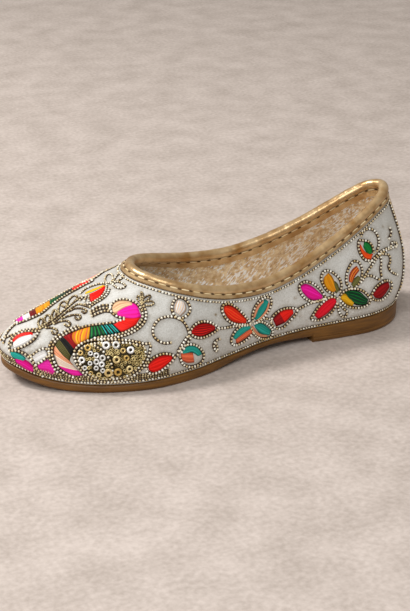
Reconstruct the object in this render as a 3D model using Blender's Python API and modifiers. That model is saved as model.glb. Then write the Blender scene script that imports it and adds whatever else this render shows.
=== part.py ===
"""Embroidered mojari: a slip-on shoe on a straight last, so one shape serves either foot.

Five pieces, as a shoemaker puts them together: a moulded outsole with a low heel, an insole, a hollow upper,
the padded binding round its collar and the strip over its back seam. Metres, +Z up. The toe points along -X
and the heel along +X. The origin is on the floor under the middle of the shoe. Each piece is lofted as its
near half, on the -Y side, and mirrored. Until the last step every X is counted from the toe.
"""

import bmesh
import bpy
import numpy as np

# Last: length and ball width at the feather line, where the upper meets the sole
LAST_LENGTH = 0.2525
BALL_WIDTH = 0.094

# Outsole: heights above the floor, and how far its side stands out past the feather line
TOE_SPRING = 0.0092
FORE_THICKNESS = 0.0046
HEEL_SEAT_HEIGHT = 0.0115
ARCH_LIFT = 0.0043
HEEL_LENGTH = 0.0692
BREAST_SLANT = 0.0004
SOLE_MARGIN = 0.0012
EDGE_ROUNDING = 0.0010
BOTTOM_BEVEL = 0.0020

# Collar: the upper's outer top edge, a loop from the throat to the back of the heel
VAMP_LENGTH = 0.0820
BACK_SETBACK = 0.0075
COLLAR_WIDTH = 0.055
THROAT_HEIGHT = 0.0552
SIDE_HEIGHT = 0.0440
BACK_HEIGHT = 0.0826

# Upper: its wall, the fullness in which the handles of a rib stand out, and how strongly they are turned
# square to the sole's outline
WALL = 0.0020
FULLNESS = 0.094
SQUARENESS = 0.010

# Binding: a padded roll over the collar's edge, with a flat stitched band outside and a deeper one inside
ROLL_PADDING = 0.0017
ROLL_COVER = 0.0004
BAND_WIDTH = 0.0028
BAND_THICKNESS = 0.0009
LINING_BAND_EXTRA = 0.0028
GROOVE_DEPTH = 0.00045
GROOVE_WIDTH = 0.0005

# Strip over the back seam, and how much of the last rib panel it covers
BACK_STRIP_THICKNESS = 0.0010
BACK_STRIP_SHARE = 0.28

INSOLE_THICKNESS = 0.0030
INSOLE_CLEARANCE = 0.0006
INSOLE_ROUNDING = 0.0008

# Gap that touching pieces keep
GAP = 0.0003

# How finely the loops and the ribs are divided, with the lower rows crowded towards the sole
HALF_STATIONS = 36
LOWER_ROWS = 9
ROW_CROWDING = 1.5
RIB_SAMPLES = 60
ROLL_POINTS = 9
STRIP_STATIONS = 3
STRIP_ROWS = 9

# Near half of the upper, one row for each rib from the toe's centre to the heel's centre.
# foot_x, foot_y: where the rib starts, in LAST_LENGTH and in half of BALL_WIDTH.
# edge_x, edge_y: where it ends, in the collar's length from the throat and in half of COLLAR_WIDTH.
# throat, back: how far the edge has climbed from SIDE_HEIGHT to THROAT_HEIGHT or to BACK_HEIGHT.
# rise, drop: how high the lower handle and how low the upper handle lies, in the rib's own height.
# lean, over: how far the handles stand out past the sole and past the collar, in FULLNESS.
RIB_COLUMNS = ("foot_x", "foot_y", "edge_x", "edge_y", "throat", "back", "rise", "drop", "lean", "over")
RIBS = (
    (0.008, 0.000, 0.000, 0.000, 1.00, 0.00, 0.52, 0.50, 0.125, 0.440),
    (0.021, 0.215, 0.002, 0.150, 0.99, 0.00, 0.52, 0.48, 0.118, 0.420),
    (0.062, 0.440, 0.012, 0.320, 0.96, 0.00, 0.50, 0.40, 0.095, 0.360),
    (0.129, 0.675, 0.035, 0.520, 0.89, 0.00, 0.47, 0.31, 0.068, 0.300),
    (0.203, 0.868, 0.072, 0.700, 0.74, 0.00, 0.44, 0.23, 0.048, 0.225),
    (0.297, 0.985, 0.130, 0.850, 0.50, 0.00, 0.42, 0.18, 0.043, 0.146),
    (0.396, 0.940, 0.215, 0.960, 0.23, 0.00, 0.40, 0.19, 0.043, 0.082),
    (0.490, 0.805, 0.315, 1.000, 0.05, 0.00, 0.37, 0.24, 0.043, 0.048),
    (0.594, 0.665, 0.440, 0.960, 0.00, 0.02, 0.35, 0.30, 0.043, 0.034),
    (0.693, 0.630, 0.575, 0.860, 0.00, 0.15, 0.35, 0.34, 0.050, 0.032),
    (0.792, 0.670, 0.715, 0.730, 0.00, 0.38, 0.34, 0.36, 0.058, 0.036),
    (0.885, 0.675, 0.835, 0.610, 0.00, 0.63, 0.33, 0.38, 0.078, 0.046),
    (0.948, 0.545, 0.920, 0.480, 0.00, 0.83, 0.32, 0.38, 0.112, 0.060),
    (0.986, 0.325, 0.975, 0.315, 0.00, 0.95, 0.31, 0.38, 0.148, 0.082),
    (1.000, 0.000, 1.000, 0.000, 0.00, 1.00, 0.31, 0.38, 0.165, 0.092),
)

# The sole from the side, one row for each station from toe to heel.
# spring, arch: how far its underside is lifted, in TOE_SPRING and in ARCH_LIFT.
# seat: how far its top has climbed from FORE_THICKNESS to HEEL_SEAT_HEIGHT.
SOLE_COLUMNS = ("at", "spring", "arch", "seat")
SOLE_ROWS = (
    (0.00, 1.00, 0.00, 0.00),
    (0.02, 0.80, 0.00, 0.00),
    (0.05, 0.48, 0.00, 0.00),
    (0.08, 0.25, 0.00, 0.00),
    (0.12, 0.08, 0.00, 0.00),
    (0.17, 0.00, 0.00, 0.00),
    (0.25, 0.00, 0.00, 0.02),
    (0.38, 0.00, 0.00, 0.12),
    (0.45, 0.00, 0.10, 0.18),
    (0.52, 0.00, 0.66, 0.26),
    (0.60, 0.00, 1.00, 0.39),
    (0.74, 0.00, 0.90, 0.67),
    (0.87, 0.00, 0.90, 0.86),
    (1.00, 0.00, 0.90, 1.00),
)

# Finish of each piece: red, green, blue, metallic, roughness
FINISHES = {
    "outsole": (0.36, 0.19, 0.075, 0.0, 0.6),
    "insole": (0.62, 0.50, 0.33, 0.5, 0.45),
    "upper": (0.78, 0.77, 0.71, 0.0, 0.5),
    "collar_binding": (0.66, 0.46, 0.22, 0.6, 0.38),
    "back_strip": (0.66, 0.46, 0.22, 0.6, 0.38),
}


def unit(vectors):
    return vectors / np.linalg.norm(vectors, axis=-1, keepdims=True)


def half_ring(positions):
    """Columns of RIBS on a smooth curve, at positions counted in rows. Both ends meet their mirror image."""
    sides = np.array([-1.0 if name in ("foot_y", "edge_y") else 1.0 for name in RIB_COLUMNS])
    near = np.array(RIBS) * sides
    padded = np.vstack([near[1] * sides, near, near[-2] * sides])
    first = np.clip(np.floor(positions).astype(int), 0, len(RIBS) - 2)
    t = (positions - first)[:, None]
    a, b, c, d = (padded[first + step] for step in range(4))
    rows = 0.5 * (2 * b + (c - a) * t + (2 * a - 5 * b + 4 * c - d) * t**2 + (3 * b - a - 3 * c + d) * t**3)
    return {name: rows[:, i] for i, name in enumerate(RIB_COLUMNS)}


def stations():
    return np.linspace(0, len(RIBS) - 1, HALF_STATIONS + 1)


def sole_column(name, x):
    """One column of SOLE_ROWS at distances x from the toe, on a smooth curve."""
    rows = np.array(SOLE_ROWS)
    at = rows[:, 0]
    values = rows[:, SOLE_COLUMNS.index(name)]
    slopes = np.gradient(values, at)
    share = np.clip(x / LAST_LENGTH, 0, 1)
    i = np.clip(np.searchsorted(at, share) - 1, 0, len(at) - 2)
    width = at[i + 1] - at[i]
    t = (share - at[i]) / width
    start = values[i] * (1 + 2 * t) * (1 - t) ** 2 + slopes[i] * width * t * (1 - t) ** 2
    end = values[i + 1] * t**2 * (3 - 2 * t) - slopes[i + 1] * width * t**2 * (1 - t)
    return start + end


def sole_top(x):
    climb = (HEEL_SEAT_HEIGHT - FORE_THICKNESS) * sole_column("seat", x)
    return FORE_THICKNESS + TOE_SPRING * sole_column("spring", x) + climb


def sole_underside(x):
    lift = TOE_SPRING * sole_column("spring", x) + ARCH_LIFT * sole_column("arch", x)
    return np.where(x > LAST_LENGTH - HEEL_LENGTH, 0.0, np.maximum(lift, 0.0))


def foot_points(ring):
    """Where the ribs meet the sole, in plan."""
    return np.stack([ring["foot_x"] * LAST_LENGTH, ring["foot_y"] * BALL_WIDTH / 2], axis=1)


def edge_points(ring):
    """Where the ribs meet the collar, in plan."""
    length = LAST_LENGTH - VAMP_LENGTH - BACK_SETBACK
    return np.stack([VAMP_LENGTH + ring["edge_x"] * length, ring["edge_y"] * COLLAR_WIDTH / 2], axis=1)


def out_of_outline(positions):
    """Plan directions that point straight out of the feather line."""
    step = 1 / RIB_SAMPLES
    along = foot_points(half_ring(positions + step)) - foot_points(half_ring(positions - step))
    return unit(np.stack([along[:, 1], -along[:, 0]], axis=1))


def feather_half():
    """Near half of the feather line in plan, and the directions that point out of it."""
    return foot_points(half_ring(stations())), out_of_outline(stations())


def rib_curves(positions):
    """The ribs at these positions as Bezier curves, sole to collar: an array of rib, sample, XYZ."""
    ring = half_ring(positions)
    foot = foot_points(ring)
    edge = edge_points(ring)
    bottom = sole_top(foot[:, 0]) + GAP
    climb = ring["throat"] * (THROAT_HEIGHT - SIDE_HEIGHT) + ring["back"] * (BACK_HEIGHT - SIDE_HEIGHT)
    top = SIDE_HEIGHT + climb
    height = top - bottom
    outward = unit(foot - edge + SQUARENESS * out_of_outline(positions))
    corners = (
        np.column_stack([foot, bottom]),
        np.column_stack([foot + outward * FULLNESS * ring["lean"][:, None], bottom + ring["rise"] * height]),
        np.column_stack([edge + outward * FULLNESS * ring["over"][:, None], top - ring["drop"] * height]),
        np.column_stack([edge, top]),
    )
    t = np.linspace(0, 1, RIB_SAMPLES)
    weights = ((1 - t) ** 3, 3 * t * (1 - t) ** 2, 3 * t**2 * (1 - t), t**3)
    return sum(corner[:, None, :] * weight[None, :, None] for corner, weight in zip(corners, weights))


class UpperSurface:
    """The upper's outer surface along some ribs, read by distance down each rib from the collar's edge."""

    def __init__(self, positions):
        self.points = rib_curves(positions)[:, ::-1]
        step = 1 / RIB_SAMPLES
        around = rib_curves(positions + step)[:, ::-1] - rib_curves(positions - step)[:, ::-1]
        down = np.gradient(self.points, axis=1)
        self.normals = unit(np.cross(down, around))
        steps = np.linalg.norm(np.diff(self.points, axis=1), axis=2)
        self.distance = np.pad(np.cumsum(steps, axis=1), ((0, 0), (1, 0)))
        self.length = self.distance[:, -1]

    def read(self, table, distances):
        ribs = zip(distances, self.distance, table)
        return np.array([[np.interp(wanted, along, axis) for axis in rib.T] for wanted, along, rib in ribs])

    def at(self, distances, outward=0.0):
        """Points that far down the ribs and that far outward. Above the edge the wall runs straight on."""
        distances = np.broadcast_to(distances, len(self.points))
        on_wall = np.maximum(distances, 0)
        beyond = np.maximum(-distances, 0)
        normals = unit(self.read(self.normals, on_wall))
        up = unit(self.points[:, 0] - self.points[:, 2])
        return self.read(self.points, on_wall) + normals * outward + up * beyond[:, None]


def band_face():
    """How far the face of a band lies from the middle of the upper's wall."""
    return WALL / 2 + GAP + BAND_THICKNESS


def roll_radius():
    return WALL / 2 + GAP + ROLL_PADDING


def roll_drop():
    """How far the roll's middle lies below the collar's edge, so that it covers the edge's corners."""
    return np.sqrt((roll_radius() - ROLL_COVER) ** 2 - (WALL / 2 + GAP) ** 2) - GAP


def groove_distance():
    """Distance down the wall from the collar's edge to the stitched groove under the roll."""
    return roll_drop() + np.sqrt(roll_radius() ** 2 - (band_face() - GROOVE_DEPTH) ** 2)


def collar_rows():
    """Distances at which wall and bands bend together, down to the edges of the outer and inner band."""
    groove = groove_distance()
    band_end = groove + BAND_WIDTH
    return (0.0, groove / 2, groove, groove + BAND_WIDTH / 2, band_end, band_end + LINING_BAND_EXTRA)


def upper_sheet():
    surface = UpperSurface(stations())
    first = collar_rows()[-1]
    shares = 1 - (1 - np.arange(1, LOWER_ROWS + 1) / LOWER_ROWS) ** ROW_CROWDING
    rows = list(collar_rows()) + [first + (surface.length - first) * share for share in shares]
    return np.stack([surface.at(row) for row in rows], axis=1)


def binding_section():
    """The binding across the wall: distances down the wall, and outward from its outer face."""
    edge, half_way, groove, middle, band_end, lining_end = collar_rows()
    bend = groove + GROOVE_WIDTH
    lining = [(row, GAP) for row in (band_end, middle, groove, half_way, edge)]
    lining += [(-GAP, GAP), (-GAP, -WALL - GAP)]
    lining += [(row, -WALL - GAP) for row in collar_rows()]
    inner_face = [(row, -band_face()) for row in (lining_end, band_end, middle, bend)]
    outer_face = [(row, band_face()) for row in (bend, middle, band_end)]
    widest = np.arctan2(groove - roll_drop(), band_face() - GROOVE_DEPTH)
    turns = np.linspace(widest, -np.pi - widest, ROLL_POINTS)
    roll = [(roll_drop() + roll_radius() * np.sin(turn), -roll_radius() * np.cos(turn)) for turn in turns]
    return lining + [(down, out - WALL / 2) for down, out in inner_face + roll + outer_face]


def binding_sheet():
    surface = UpperSurface(stations())
    return np.stack([surface.at(down, out) for down, out in binding_section()], axis=1)


def back_strip_sheet():
    last = len(RIBS) - 1
    surface = UpperSurface(np.linspace(last - BACK_STRIP_SHARE, last, STRIP_STATIONS))
    first = groove_distance() + BAND_WIDTH + 2 * GAP
    length = surface.length - first - BACK_STRIP_THICKNESS
    shares = np.linspace(0, 1, STRIP_ROWS)
    return np.stack([surface.at(first + length * share, GAP) for share in shares], axis=1)


def across_sheet(line, directions, levels):
    """Loft of a half slab through each level's edge. Its top and bottom level reach to the middle plane."""
    edges = [np.column_stack([line + directions * out, height]) for out, height in levels]
    middle = np.array([1, 0, 1])
    return np.stack([edges[0] * middle, *edges, edges[-1] * middle], axis=1)


def outsole_sheet():
    """Half of the sole, with one more station just before the heel's breast and one just after it."""
    line, directions = feather_half()
    breast = LAST_LENGTH - HEEL_LENGTH
    ends = breast + np.array([-0.5, 0.5]) * BREAST_SLANT
    both = np.hstack([line, directions])
    added = np.column_stack([np.interp(ends, line[:, 0], column) for column in both.T])
    both = both[np.abs(line[:, 0] - breast) > 3 * BREAST_SLANT]
    both = np.vstack([both, added])
    both = both[np.argsort(both[:, 0])]
    line, directions = both[:, :2], unit(both[:, 2:])
    top = sole_top(line[:, 0])
    underside = sole_underside(line[:, 0])
    rounding = np.minimum(EDGE_ROUNDING, (top - underside) / 3)
    bevel = np.minimum(BOTTOM_BEVEL, (top - underside) / 2)
    levels = (
        (SOLE_MARGIN - EDGE_ROUNDING, top),
        (SOLE_MARGIN, top - rounding),
        (SOLE_MARGIN, underside + bevel),
        (SOLE_MARGIN - BOTTOM_BEVEL / 4, underside + bevel / 4),
        (SOLE_MARGIN - BOTTOM_BEVEL / 2, underside),
    )
    return across_sheet(line, directions, levels)


def insole_sheet():
    line, directions = feather_half()
    edge = -WALL - INSOLE_CLEARANCE
    seat = sole_top(line[:, 0]) + GAP
    return across_sheet(line, directions, ((edge, seat + INSOLE_THICKNESS), (edge, seat)))


def piece_material(name):
    red, green, blue, metallic, roughness = FINISHES[name]
    made = bpy.data.materials.new(name)
    made.use_nodes = True
    shader = made.node_tree.nodes["Principled BSDF"]
    shader.inputs["Base Color"].default_value = (red, green, blue, 1.0)
    shader.inputs["Metallic"].default_value = metallic
    shader.inputs["Roughness"].default_value = roughness
    return made


def mirrored_piece(name, sheet, collection, closed_section):
    """Object of a half sheet of stations and rows, mirrored in the shoe's middle plane."""
    count, rows, _ = sheet.shape
    spans = rows if closed_section else rows - 1
    faces = []
    for i in range(count - 1):
        for j in range(spans):
            k = (j + 1) % rows
            faces.append((i * rows + j, i * rows + k, (i + 1) * rows + k, (i + 1) * rows + j))
    mesh = bpy.data.meshes.new(name)
    mesh.from_pydata(sheet.reshape(-1, 3).tolist(), [], faces)
    welded = bmesh.new()
    welded.from_mesh(mesh)
    bmesh.ops.remove_doubles(welded, verts=welded.verts, dist=GAP / 100)
    welded.to_mesh(mesh)
    welded.free()
    mesh.shade_smooth()
    mesh.set_sharp_from_angle(angle=np.radians(40))
    mesh.materials.append(piece_material(name))
    piece = bpy.data.objects.new(name, mesh)
    collection.objects.link(piece)
    mirror = piece.modifiers.new("Other side", "MIRROR")
    mirror.use_axis = (False, True, False)
    mirror.merge_threshold = GAP / 10
    return piece


def give_wall(piece, thickness, offset):
    wall = piece.modifiers.new("Wall", "SOLIDIFY")
    wall.thickness = thickness
    wall.offset = offset
    wall.use_even_offset = True


def round_edges(piece, width):
    rounding = piece.modifiers.new("Rounded edges", "BEVEL")
    rounding.width = width
    rounding.segments = 2
    rounding.limit_method = "ANGLE"
    rounding.angle_limit = np.radians(60)


def to_middle(sheets):
    """Step along X that brings the middle of the whole shoe to the origin."""
    toe = min(sheet[:, :, 0].min() for sheet in sheets.values())
    heel = max(sheet[:, :, 0].max() for sheet in sheets.values())
    return np.array([-(toe + heel + BACK_STRIP_THICKNESS) / 2, 0, 0])


def main():
    for old in list(bpy.data.objects):
        bpy.data.objects.remove(old)
    collection = bpy.data.collections.new("mojari_shoe")
    bpy.context.scene.collection.children.link(collection)
    sheets = {
        "outsole": outsole_sheet(),
        "insole": insole_sheet(),
        "upper": upper_sheet(),
        "collar_binding": binding_sheet(),
        "back_strip": back_strip_sheet(),
    }
    shift = to_middle(sheets)
    pieces = {}
    for name, sheet in sheets.items():
        pieces[name] = mirrored_piece(name, sheet + shift, collection, name == "collar_binding")
    round_edges(pieces["insole"], INSOLE_ROUNDING)
    give_wall(pieces["upper"], WALL, -1.0)
    give_wall(pieces["back_strip"], BACK_STRIP_THICKNESS, 1.0)


main()
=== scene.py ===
# %% [markdown]
# # An embroidered mojari
# A mojari is a slip-on shoe of north India and Pakistan. This one has a moulded sole with a low heel, an
# upper of cream leatherette lined with crinkled gold foil, a padded gold binding round its collar, and an
# embroidered peacock and flowers, outlined with chains of metal beads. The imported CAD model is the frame:
# it says where each piece lies and how large it is, and this script gives each piece its finish.

import bmesh
import bpy
import numpy as np
from mathutils import Matrix, Vector
from mathutils.bvhtree import BVHTree
from mathutils.kdtree import KDTree


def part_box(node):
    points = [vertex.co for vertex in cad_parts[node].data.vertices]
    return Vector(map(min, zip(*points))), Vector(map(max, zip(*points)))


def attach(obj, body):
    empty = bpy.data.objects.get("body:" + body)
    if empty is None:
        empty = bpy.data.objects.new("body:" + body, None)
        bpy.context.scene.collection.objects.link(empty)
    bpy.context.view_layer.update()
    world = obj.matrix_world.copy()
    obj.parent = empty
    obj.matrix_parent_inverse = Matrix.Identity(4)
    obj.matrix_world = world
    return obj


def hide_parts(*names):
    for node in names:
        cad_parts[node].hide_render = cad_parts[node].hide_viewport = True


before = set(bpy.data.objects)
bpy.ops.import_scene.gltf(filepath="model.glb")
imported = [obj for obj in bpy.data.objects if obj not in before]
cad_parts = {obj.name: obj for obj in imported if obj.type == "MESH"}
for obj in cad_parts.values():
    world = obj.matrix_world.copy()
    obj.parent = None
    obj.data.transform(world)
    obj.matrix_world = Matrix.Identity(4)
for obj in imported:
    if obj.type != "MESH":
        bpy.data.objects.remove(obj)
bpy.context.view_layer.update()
MM = 0.001

# %% [markdown]
# ## The shoe's measures
# A shoemaker starts from a last, and the CAD source holds its sizes and two tables: the ribs of the upper
# from toe to heel, and the side view of the sole. The smooth surfaces here are the same surfaces, only
# sampled more finely, so the sizes and tables are repeated. X is counted from the toe until the step along
# X is added.

# %% Repeat the last's sizes and tables
LAST_LENGTH = 0.2525
BALL_WIDTH = 0.094
TOE_SPRING = 0.0092
FORE_THICKNESS = 0.0046
HEEL_SEAT_HEIGHT = 0.0115
ARCH_LIFT = 0.0043
HEEL_LENGTH = 0.0692
BREAST_SLANT = 0.0004
SOLE_MARGIN = 0.0012
EDGE_ROUNDING = 0.0010
BOTTOM_BEVEL = 0.0020
VAMP_LENGTH = 0.0820
BACK_SETBACK = 0.0075
COLLAR_WIDTH = 0.055
THROAT_HEIGHT = 0.0552
SIDE_HEIGHT = 0.0440
BACK_HEIGHT = 0.0826
WALL = 0.0020
FULLNESS = 0.094
SQUARENESS = 0.010
ROLL_PADDING = 0.0017
ROLL_COVER = 0.0004
BAND_WIDTH = 0.0028
BAND_THICKNESS = 0.0009
LINING_BAND_EXTRA = 0.0028
GROOVE_DEPTH = 0.00045
GROOVE_WIDTH = 0.0005
BACK_STRIP_THICKNESS = 0.0010
BACK_STRIP_SHARE = 0.28
INSOLE_THICKNESS = 0.0030
INSOLE_CLEARANCE = 0.0006
GAP = 0.0003
RIB_SAMPLES = 90
RIB_COLUMNS = ("foot_x", "foot_y", "edge_x", "edge_y", "throat", "back", "rise", "drop", "lean", "over")
RIBS = (
    (0.008, 0.000, 0.000, 0.000, 1.00, 0.00, 0.52, 0.50, 0.125, 0.440),
    (0.021, 0.215, 0.002, 0.150, 0.99, 0.00, 0.52, 0.48, 0.118, 0.420),
    (0.062, 0.440, 0.012, 0.320, 0.96, 0.00, 0.50, 0.40, 0.095, 0.360),
    (0.129, 0.675, 0.035, 0.520, 0.89, 0.00, 0.47, 0.31, 0.068, 0.300),
    (0.203, 0.868, 0.072, 0.700, 0.74, 0.00, 0.44, 0.23, 0.048, 0.225),
    (0.297, 0.985, 0.130, 0.850, 0.50, 0.00, 0.42, 0.18, 0.043, 0.146),
    (0.396, 0.940, 0.215, 0.960, 0.23, 0.00, 0.40, 0.19, 0.043, 0.082),
    (0.490, 0.805, 0.315, 1.000, 0.05, 0.00, 0.37, 0.24, 0.043, 0.048),
    (0.594, 0.665, 0.440, 0.960, 0.00, 0.02, 0.35, 0.30, 0.043, 0.034),
    (0.693, 0.630, 0.575, 0.860, 0.00, 0.15, 0.35, 0.34, 0.050, 0.032),
    (0.792, 0.670, 0.715, 0.730, 0.00, 0.38, 0.34, 0.36, 0.058, 0.036),
    (0.885, 0.675, 0.835, 0.610, 0.00, 0.63, 0.33, 0.38, 0.078, 0.046),
    (0.948, 0.545, 0.920, 0.480, 0.00, 0.83, 0.32, 0.38, 0.112, 0.060),
    (0.986, 0.325, 0.975, 0.315, 0.00, 0.95, 0.31, 0.38, 0.148, 0.082),
    (1.000, 0.000, 1.000, 0.000, 0.00, 1.00, 0.31, 0.38, 0.165, 0.092),
)
SOLE_COLUMNS = ("at", "spring", "arch", "seat")
SOLE_ROWS = (
    (0.00, 1.00, 0.00, 0.00),
    (0.02, 0.80, 0.00, 0.00),
    (0.05, 0.48, 0.00, 0.00),
    (0.08, 0.25, 0.00, 0.00),
    (0.12, 0.08, 0.00, 0.00),
    (0.17, 0.00, 0.00, 0.00),
    (0.25, 0.00, 0.00, 0.02),
    (0.38, 0.00, 0.00, 0.12),
    (0.45, 0.00, 0.10, 0.18),
    (0.52, 0.00, 0.66, 0.26),
    (0.60, 0.00, 1.00, 0.39),
    (0.74, 0.00, 0.90, 0.67),
    (0.87, 0.00, 0.90, 0.86),
    (1.00, 0.00, 0.90, 1.00),
)
LAST_RIB = len(RIBS) - 1
TOE_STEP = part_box("outsole")[0].x - (RIBS[0][0] * LAST_LENGTH - SOLE_MARGIN)
print("the toe's zero lies at x =", round(TOE_STEP / MM, 2), "mm")

# %% [markdown]
# ## Read the tables between their rows
# The surfaces need far more stations than the tables have rows. A smooth curve through the rows of a column
# gives its value anywhere, counted in rows from the toe's centre to the heel's centre. The sole's side view
# is read in the same way, by distance from the toe.


# %% Read the tables
def unit(vectors):
    return vectors / np.linalg.norm(vectors, axis=-1, keepdims=True)


def smooth(rows, positions):
    """Rows read on a smooth curve through them. The first and last row are only neighbours."""
    first = np.clip(np.floor(positions).astype(int), 0, len(rows) - 4)
    t = (positions - first)[:, None]
    a, b, c, d = (rows[first + step] for step in range(4))
    return 0.5 * (2 * b + (c - a) * t + (2 * a - 5 * b + 4 * c - d) * t**2 + (3 * b - a - 3 * c + d) * t**3)


def half_ring(positions):
    sides = np.array([-1.0 if name in ("foot_y", "edge_y") else 1.0 for name in RIB_COLUMNS])
    near = np.array(RIBS) * sides
    rows = smooth(np.vstack([near[1] * sides, near, near[-2] * sides]), positions)
    return {name: rows[:, i] for i, name in enumerate(RIB_COLUMNS)}


def sole_column(name, x):
    rows = np.array(SOLE_ROWS)
    at = rows[:, 0]
    values = rows[:, SOLE_COLUMNS.index(name)]
    slopes = np.gradient(values, at)
    share = np.clip(x / LAST_LENGTH, 0, 1)
    i = np.clip(np.searchsorted(at, share) - 1, 0, len(at) - 2)
    width = at[i + 1] - at[i]
    t = (share - at[i]) / width
    start = values[i] * (1 + 2 * t) * (1 - t) ** 2 + slopes[i] * width * t * (1 - t) ** 2
    end = values[i + 1] * t**2 * (3 - 2 * t) - slopes[i + 1] * width * t**2 * (1 - t)
    return start + end


def sole_top(x):
    climb = (HEEL_SEAT_HEIGHT - FORE_THICKNESS) * sole_column("seat", x)
    return FORE_THICKNESS + TOE_SPRING * sole_column("spring", x) + climb


def sole_underside(x):
    lift = TOE_SPRING * sole_column("spring", x) + ARCH_LIFT * sole_column("arch", x)
    return np.where(x > LAST_LENGTH - HEEL_LENGTH, 0.0, np.maximum(lift, 0.0))


print("feather line's height in mm, toe and heel:", np.round(sole_top(np.array([0.0, LAST_LENGTH])) / MM, 1))

# %% [markdown]
# ## Ribs from sole to collar
# Each row of the table is one rib: a Bezier curve from the sole's edge up and over to the collar. A
# shoemaker's last has such ribs as cross sections. They are curves in space here, because the rounding of
# toe and heel runs out of any flat section.


# %% Work out ribs
def foot_points(ring):
    return np.stack([ring["foot_x"] * LAST_LENGTH, ring["foot_y"] * BALL_WIDTH / 2], axis=1)


def edge_points(ring):
    length = LAST_LENGTH - VAMP_LENGTH - BACK_SETBACK
    return np.stack([VAMP_LENGTH + ring["edge_x"] * length, ring["edge_y"] * COLLAR_WIDTH / 2], axis=1)


def out_of_outline(positions):
    step = 1 / RIB_SAMPLES
    along = foot_points(half_ring(positions + step)) - foot_points(half_ring(positions - step))
    return unit(np.stack([along[:, 1], -along[:, 0]], axis=1))


def rib_curves(positions):
    """The ribs at these positions, collar to sole: an array of rib, sample, XYZ."""
    ring = half_ring(positions)
    foot = foot_points(ring)
    edge = edge_points(ring)
    bottom = sole_top(foot[:, 0]) + GAP
    top = SIDE_HEIGHT + ring["throat"] * (THROAT_HEIGHT - SIDE_HEIGHT)
    top = top + ring["back"] * (BACK_HEIGHT - SIDE_HEIGHT)
    outward = unit(foot - edge + SQUARENESS * out_of_outline(positions))
    corners = (
        np.column_stack([edge, top]),
        np.column_stack([
            edge + outward * FULLNESS * ring["over"][:, None],
            top - ring["drop"] * (top - bottom),
        ]),
        np.column_stack([
            foot + outward * FULLNESS * ring["lean"][:, None],
            bottom + ring["rise"] * (top - bottom),
        ]),
        np.column_stack([foot, bottom]),
    )
    t = np.linspace(0, 1, RIB_SAMPLES)
    weights = ((1 - t) ** 3, 3 * t * (1 - t) ** 2, 3 * t**2 * (1 - t), t**3)
    return sum(corner[:, None, :] * weight[None, :, None] for corner, weight in zip(corners, weights))


def both_sides(half):
    """A near half, toe to heel, followed by its mirror image back to the toe."""
    return np.concatenate([half, (half * (1, -1, 1))[-2:0:-1]])


print("points on one rib:", rib_curves(np.array([0.0])).shape[1])

# %% [markdown]
# ## The upper's outer face
# Cover, lining, binding, strip and chains all lie on the upper or a little inside or outside it. So they
# share one class, which walks a distance down each rib from the collar's edge and steps a distance out
# along the normal.

# %% Walk down the ribs
FINE_STEPS = 40


class Wall:
    """The upper's outer face all round the shoe, read by distance down each rib from the collar's edge."""

    def __init__(self, positions):
        half = rib_curves(positions) + (TOE_STEP, 0, 0)
        step = 1 / RIB_SAMPLES
        around = rib_curves(positions + step) - rib_curves(positions - step)
        square = np.cross(np.gradient(half, axis=1), around)
        square[[0, -1], :, 1] = 0
        self.points = both_sides(half)
        self.normals = both_sides(unit(square))
        steps = np.linalg.norm(np.diff(self.points, axis=1), axis=2)
        self.distance = np.pad(np.cumsum(steps, axis=1), ((0, 0), (1, 0)))
        self.length = self.distance[:, -1]

    def at(self, down, out=0.0):
        """Points and normals at some distances down, a row for each rib or one for all, and as far out."""
        down = np.broadcast_to(down, (len(self.points), np.shape(down)[-1]))
        on_wall = np.maximum(down, 0)
        spots = np.empty(down.shape + (3,))
        square = np.empty(down.shape + (3,))
        for i, (row, along) in enumerate(zip(on_wall, self.distance)):
            for axis in range(3):
                spots[i, :, axis] = np.interp(row, along, self.points[i, :, axis])
                square[i, :, axis] = np.interp(row, along, self.normals[i, :, axis])
        square = unit(square)
        up = unit(self.points[:, 0] - self.points[:, 2])[:, None]
        beyond = np.maximum(-down, 0)[..., None]
        return spots + square * np.broadcast_to(out, down.shape)[..., None] + up * beyond, square


def even_ribs(count, read):
    """Rib positions that are evenly spaced along the collar or along the sole's edge."""
    fine = np.linspace(0, LAST_RIB, FINE_STEPS * LAST_RIB + 1)
    line = read(half_ring(fine))
    arc = np.pad(np.cumsum(np.linalg.norm(np.diff(line, axis=0), axis=1)), (1, 0))
    return np.interp(np.linspace(0, arc[-1], count + 1), arc, fine)


middle_ribs = Wall(np.array([0.0, LAST_RIB]))
print("from collar to sole in mm, toe and heel:", np.round(middle_ribs.length / MM, 1))

# %% [markdown]
# ## The camera
# The camera stands as the photographer did: the shoe's toe points left and a little towards us. The numbers
# are its angles, its distance and its focal length in pixels, found by laying the last's outline over the
# photograph. The embroidery is drawn in the same pixels, so the camera comes first.

# %% Place the camera
PHOTO_SIZE = (410, 611)
SENSOR = 36.0
FOCAL_PIXELS = 1536.5
AZIMUTH, ELEVATION, ROLL = np.radians((25.32, 24.19, 0.28))
DISTANCE = 0.9032
AIM = np.array((0.125 + TOE_STEP, 0.0, 0.035))
AIM_PIXEL = (202.45, 286.28)

forward = np.array((
    np.sin(AZIMUTH) * np.cos(ELEVATION),
    np.cos(AZIMUTH) * np.cos(ELEVATION),
    -np.sin(ELEVATION),
))
level = np.array((np.cos(AZIMUTH), -np.sin(AZIMUTH), 0.0))
raised = np.cross(level, forward)
right = np.cos(ROLL) * level + np.sin(ROLL) * raised
up = np.cos(ROLL) * raised - np.sin(ROLL) * level


def sight(pixels):
    """Directions from the camera through these pixels of the photograph."""
    across, down = (np.asarray(pixels, float) - np.array(PHOTO_SIZE) / 2).T / FOCAL_PIXELS
    return unit(forward + across[:, None] * right - down[:, None] * up)


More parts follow.
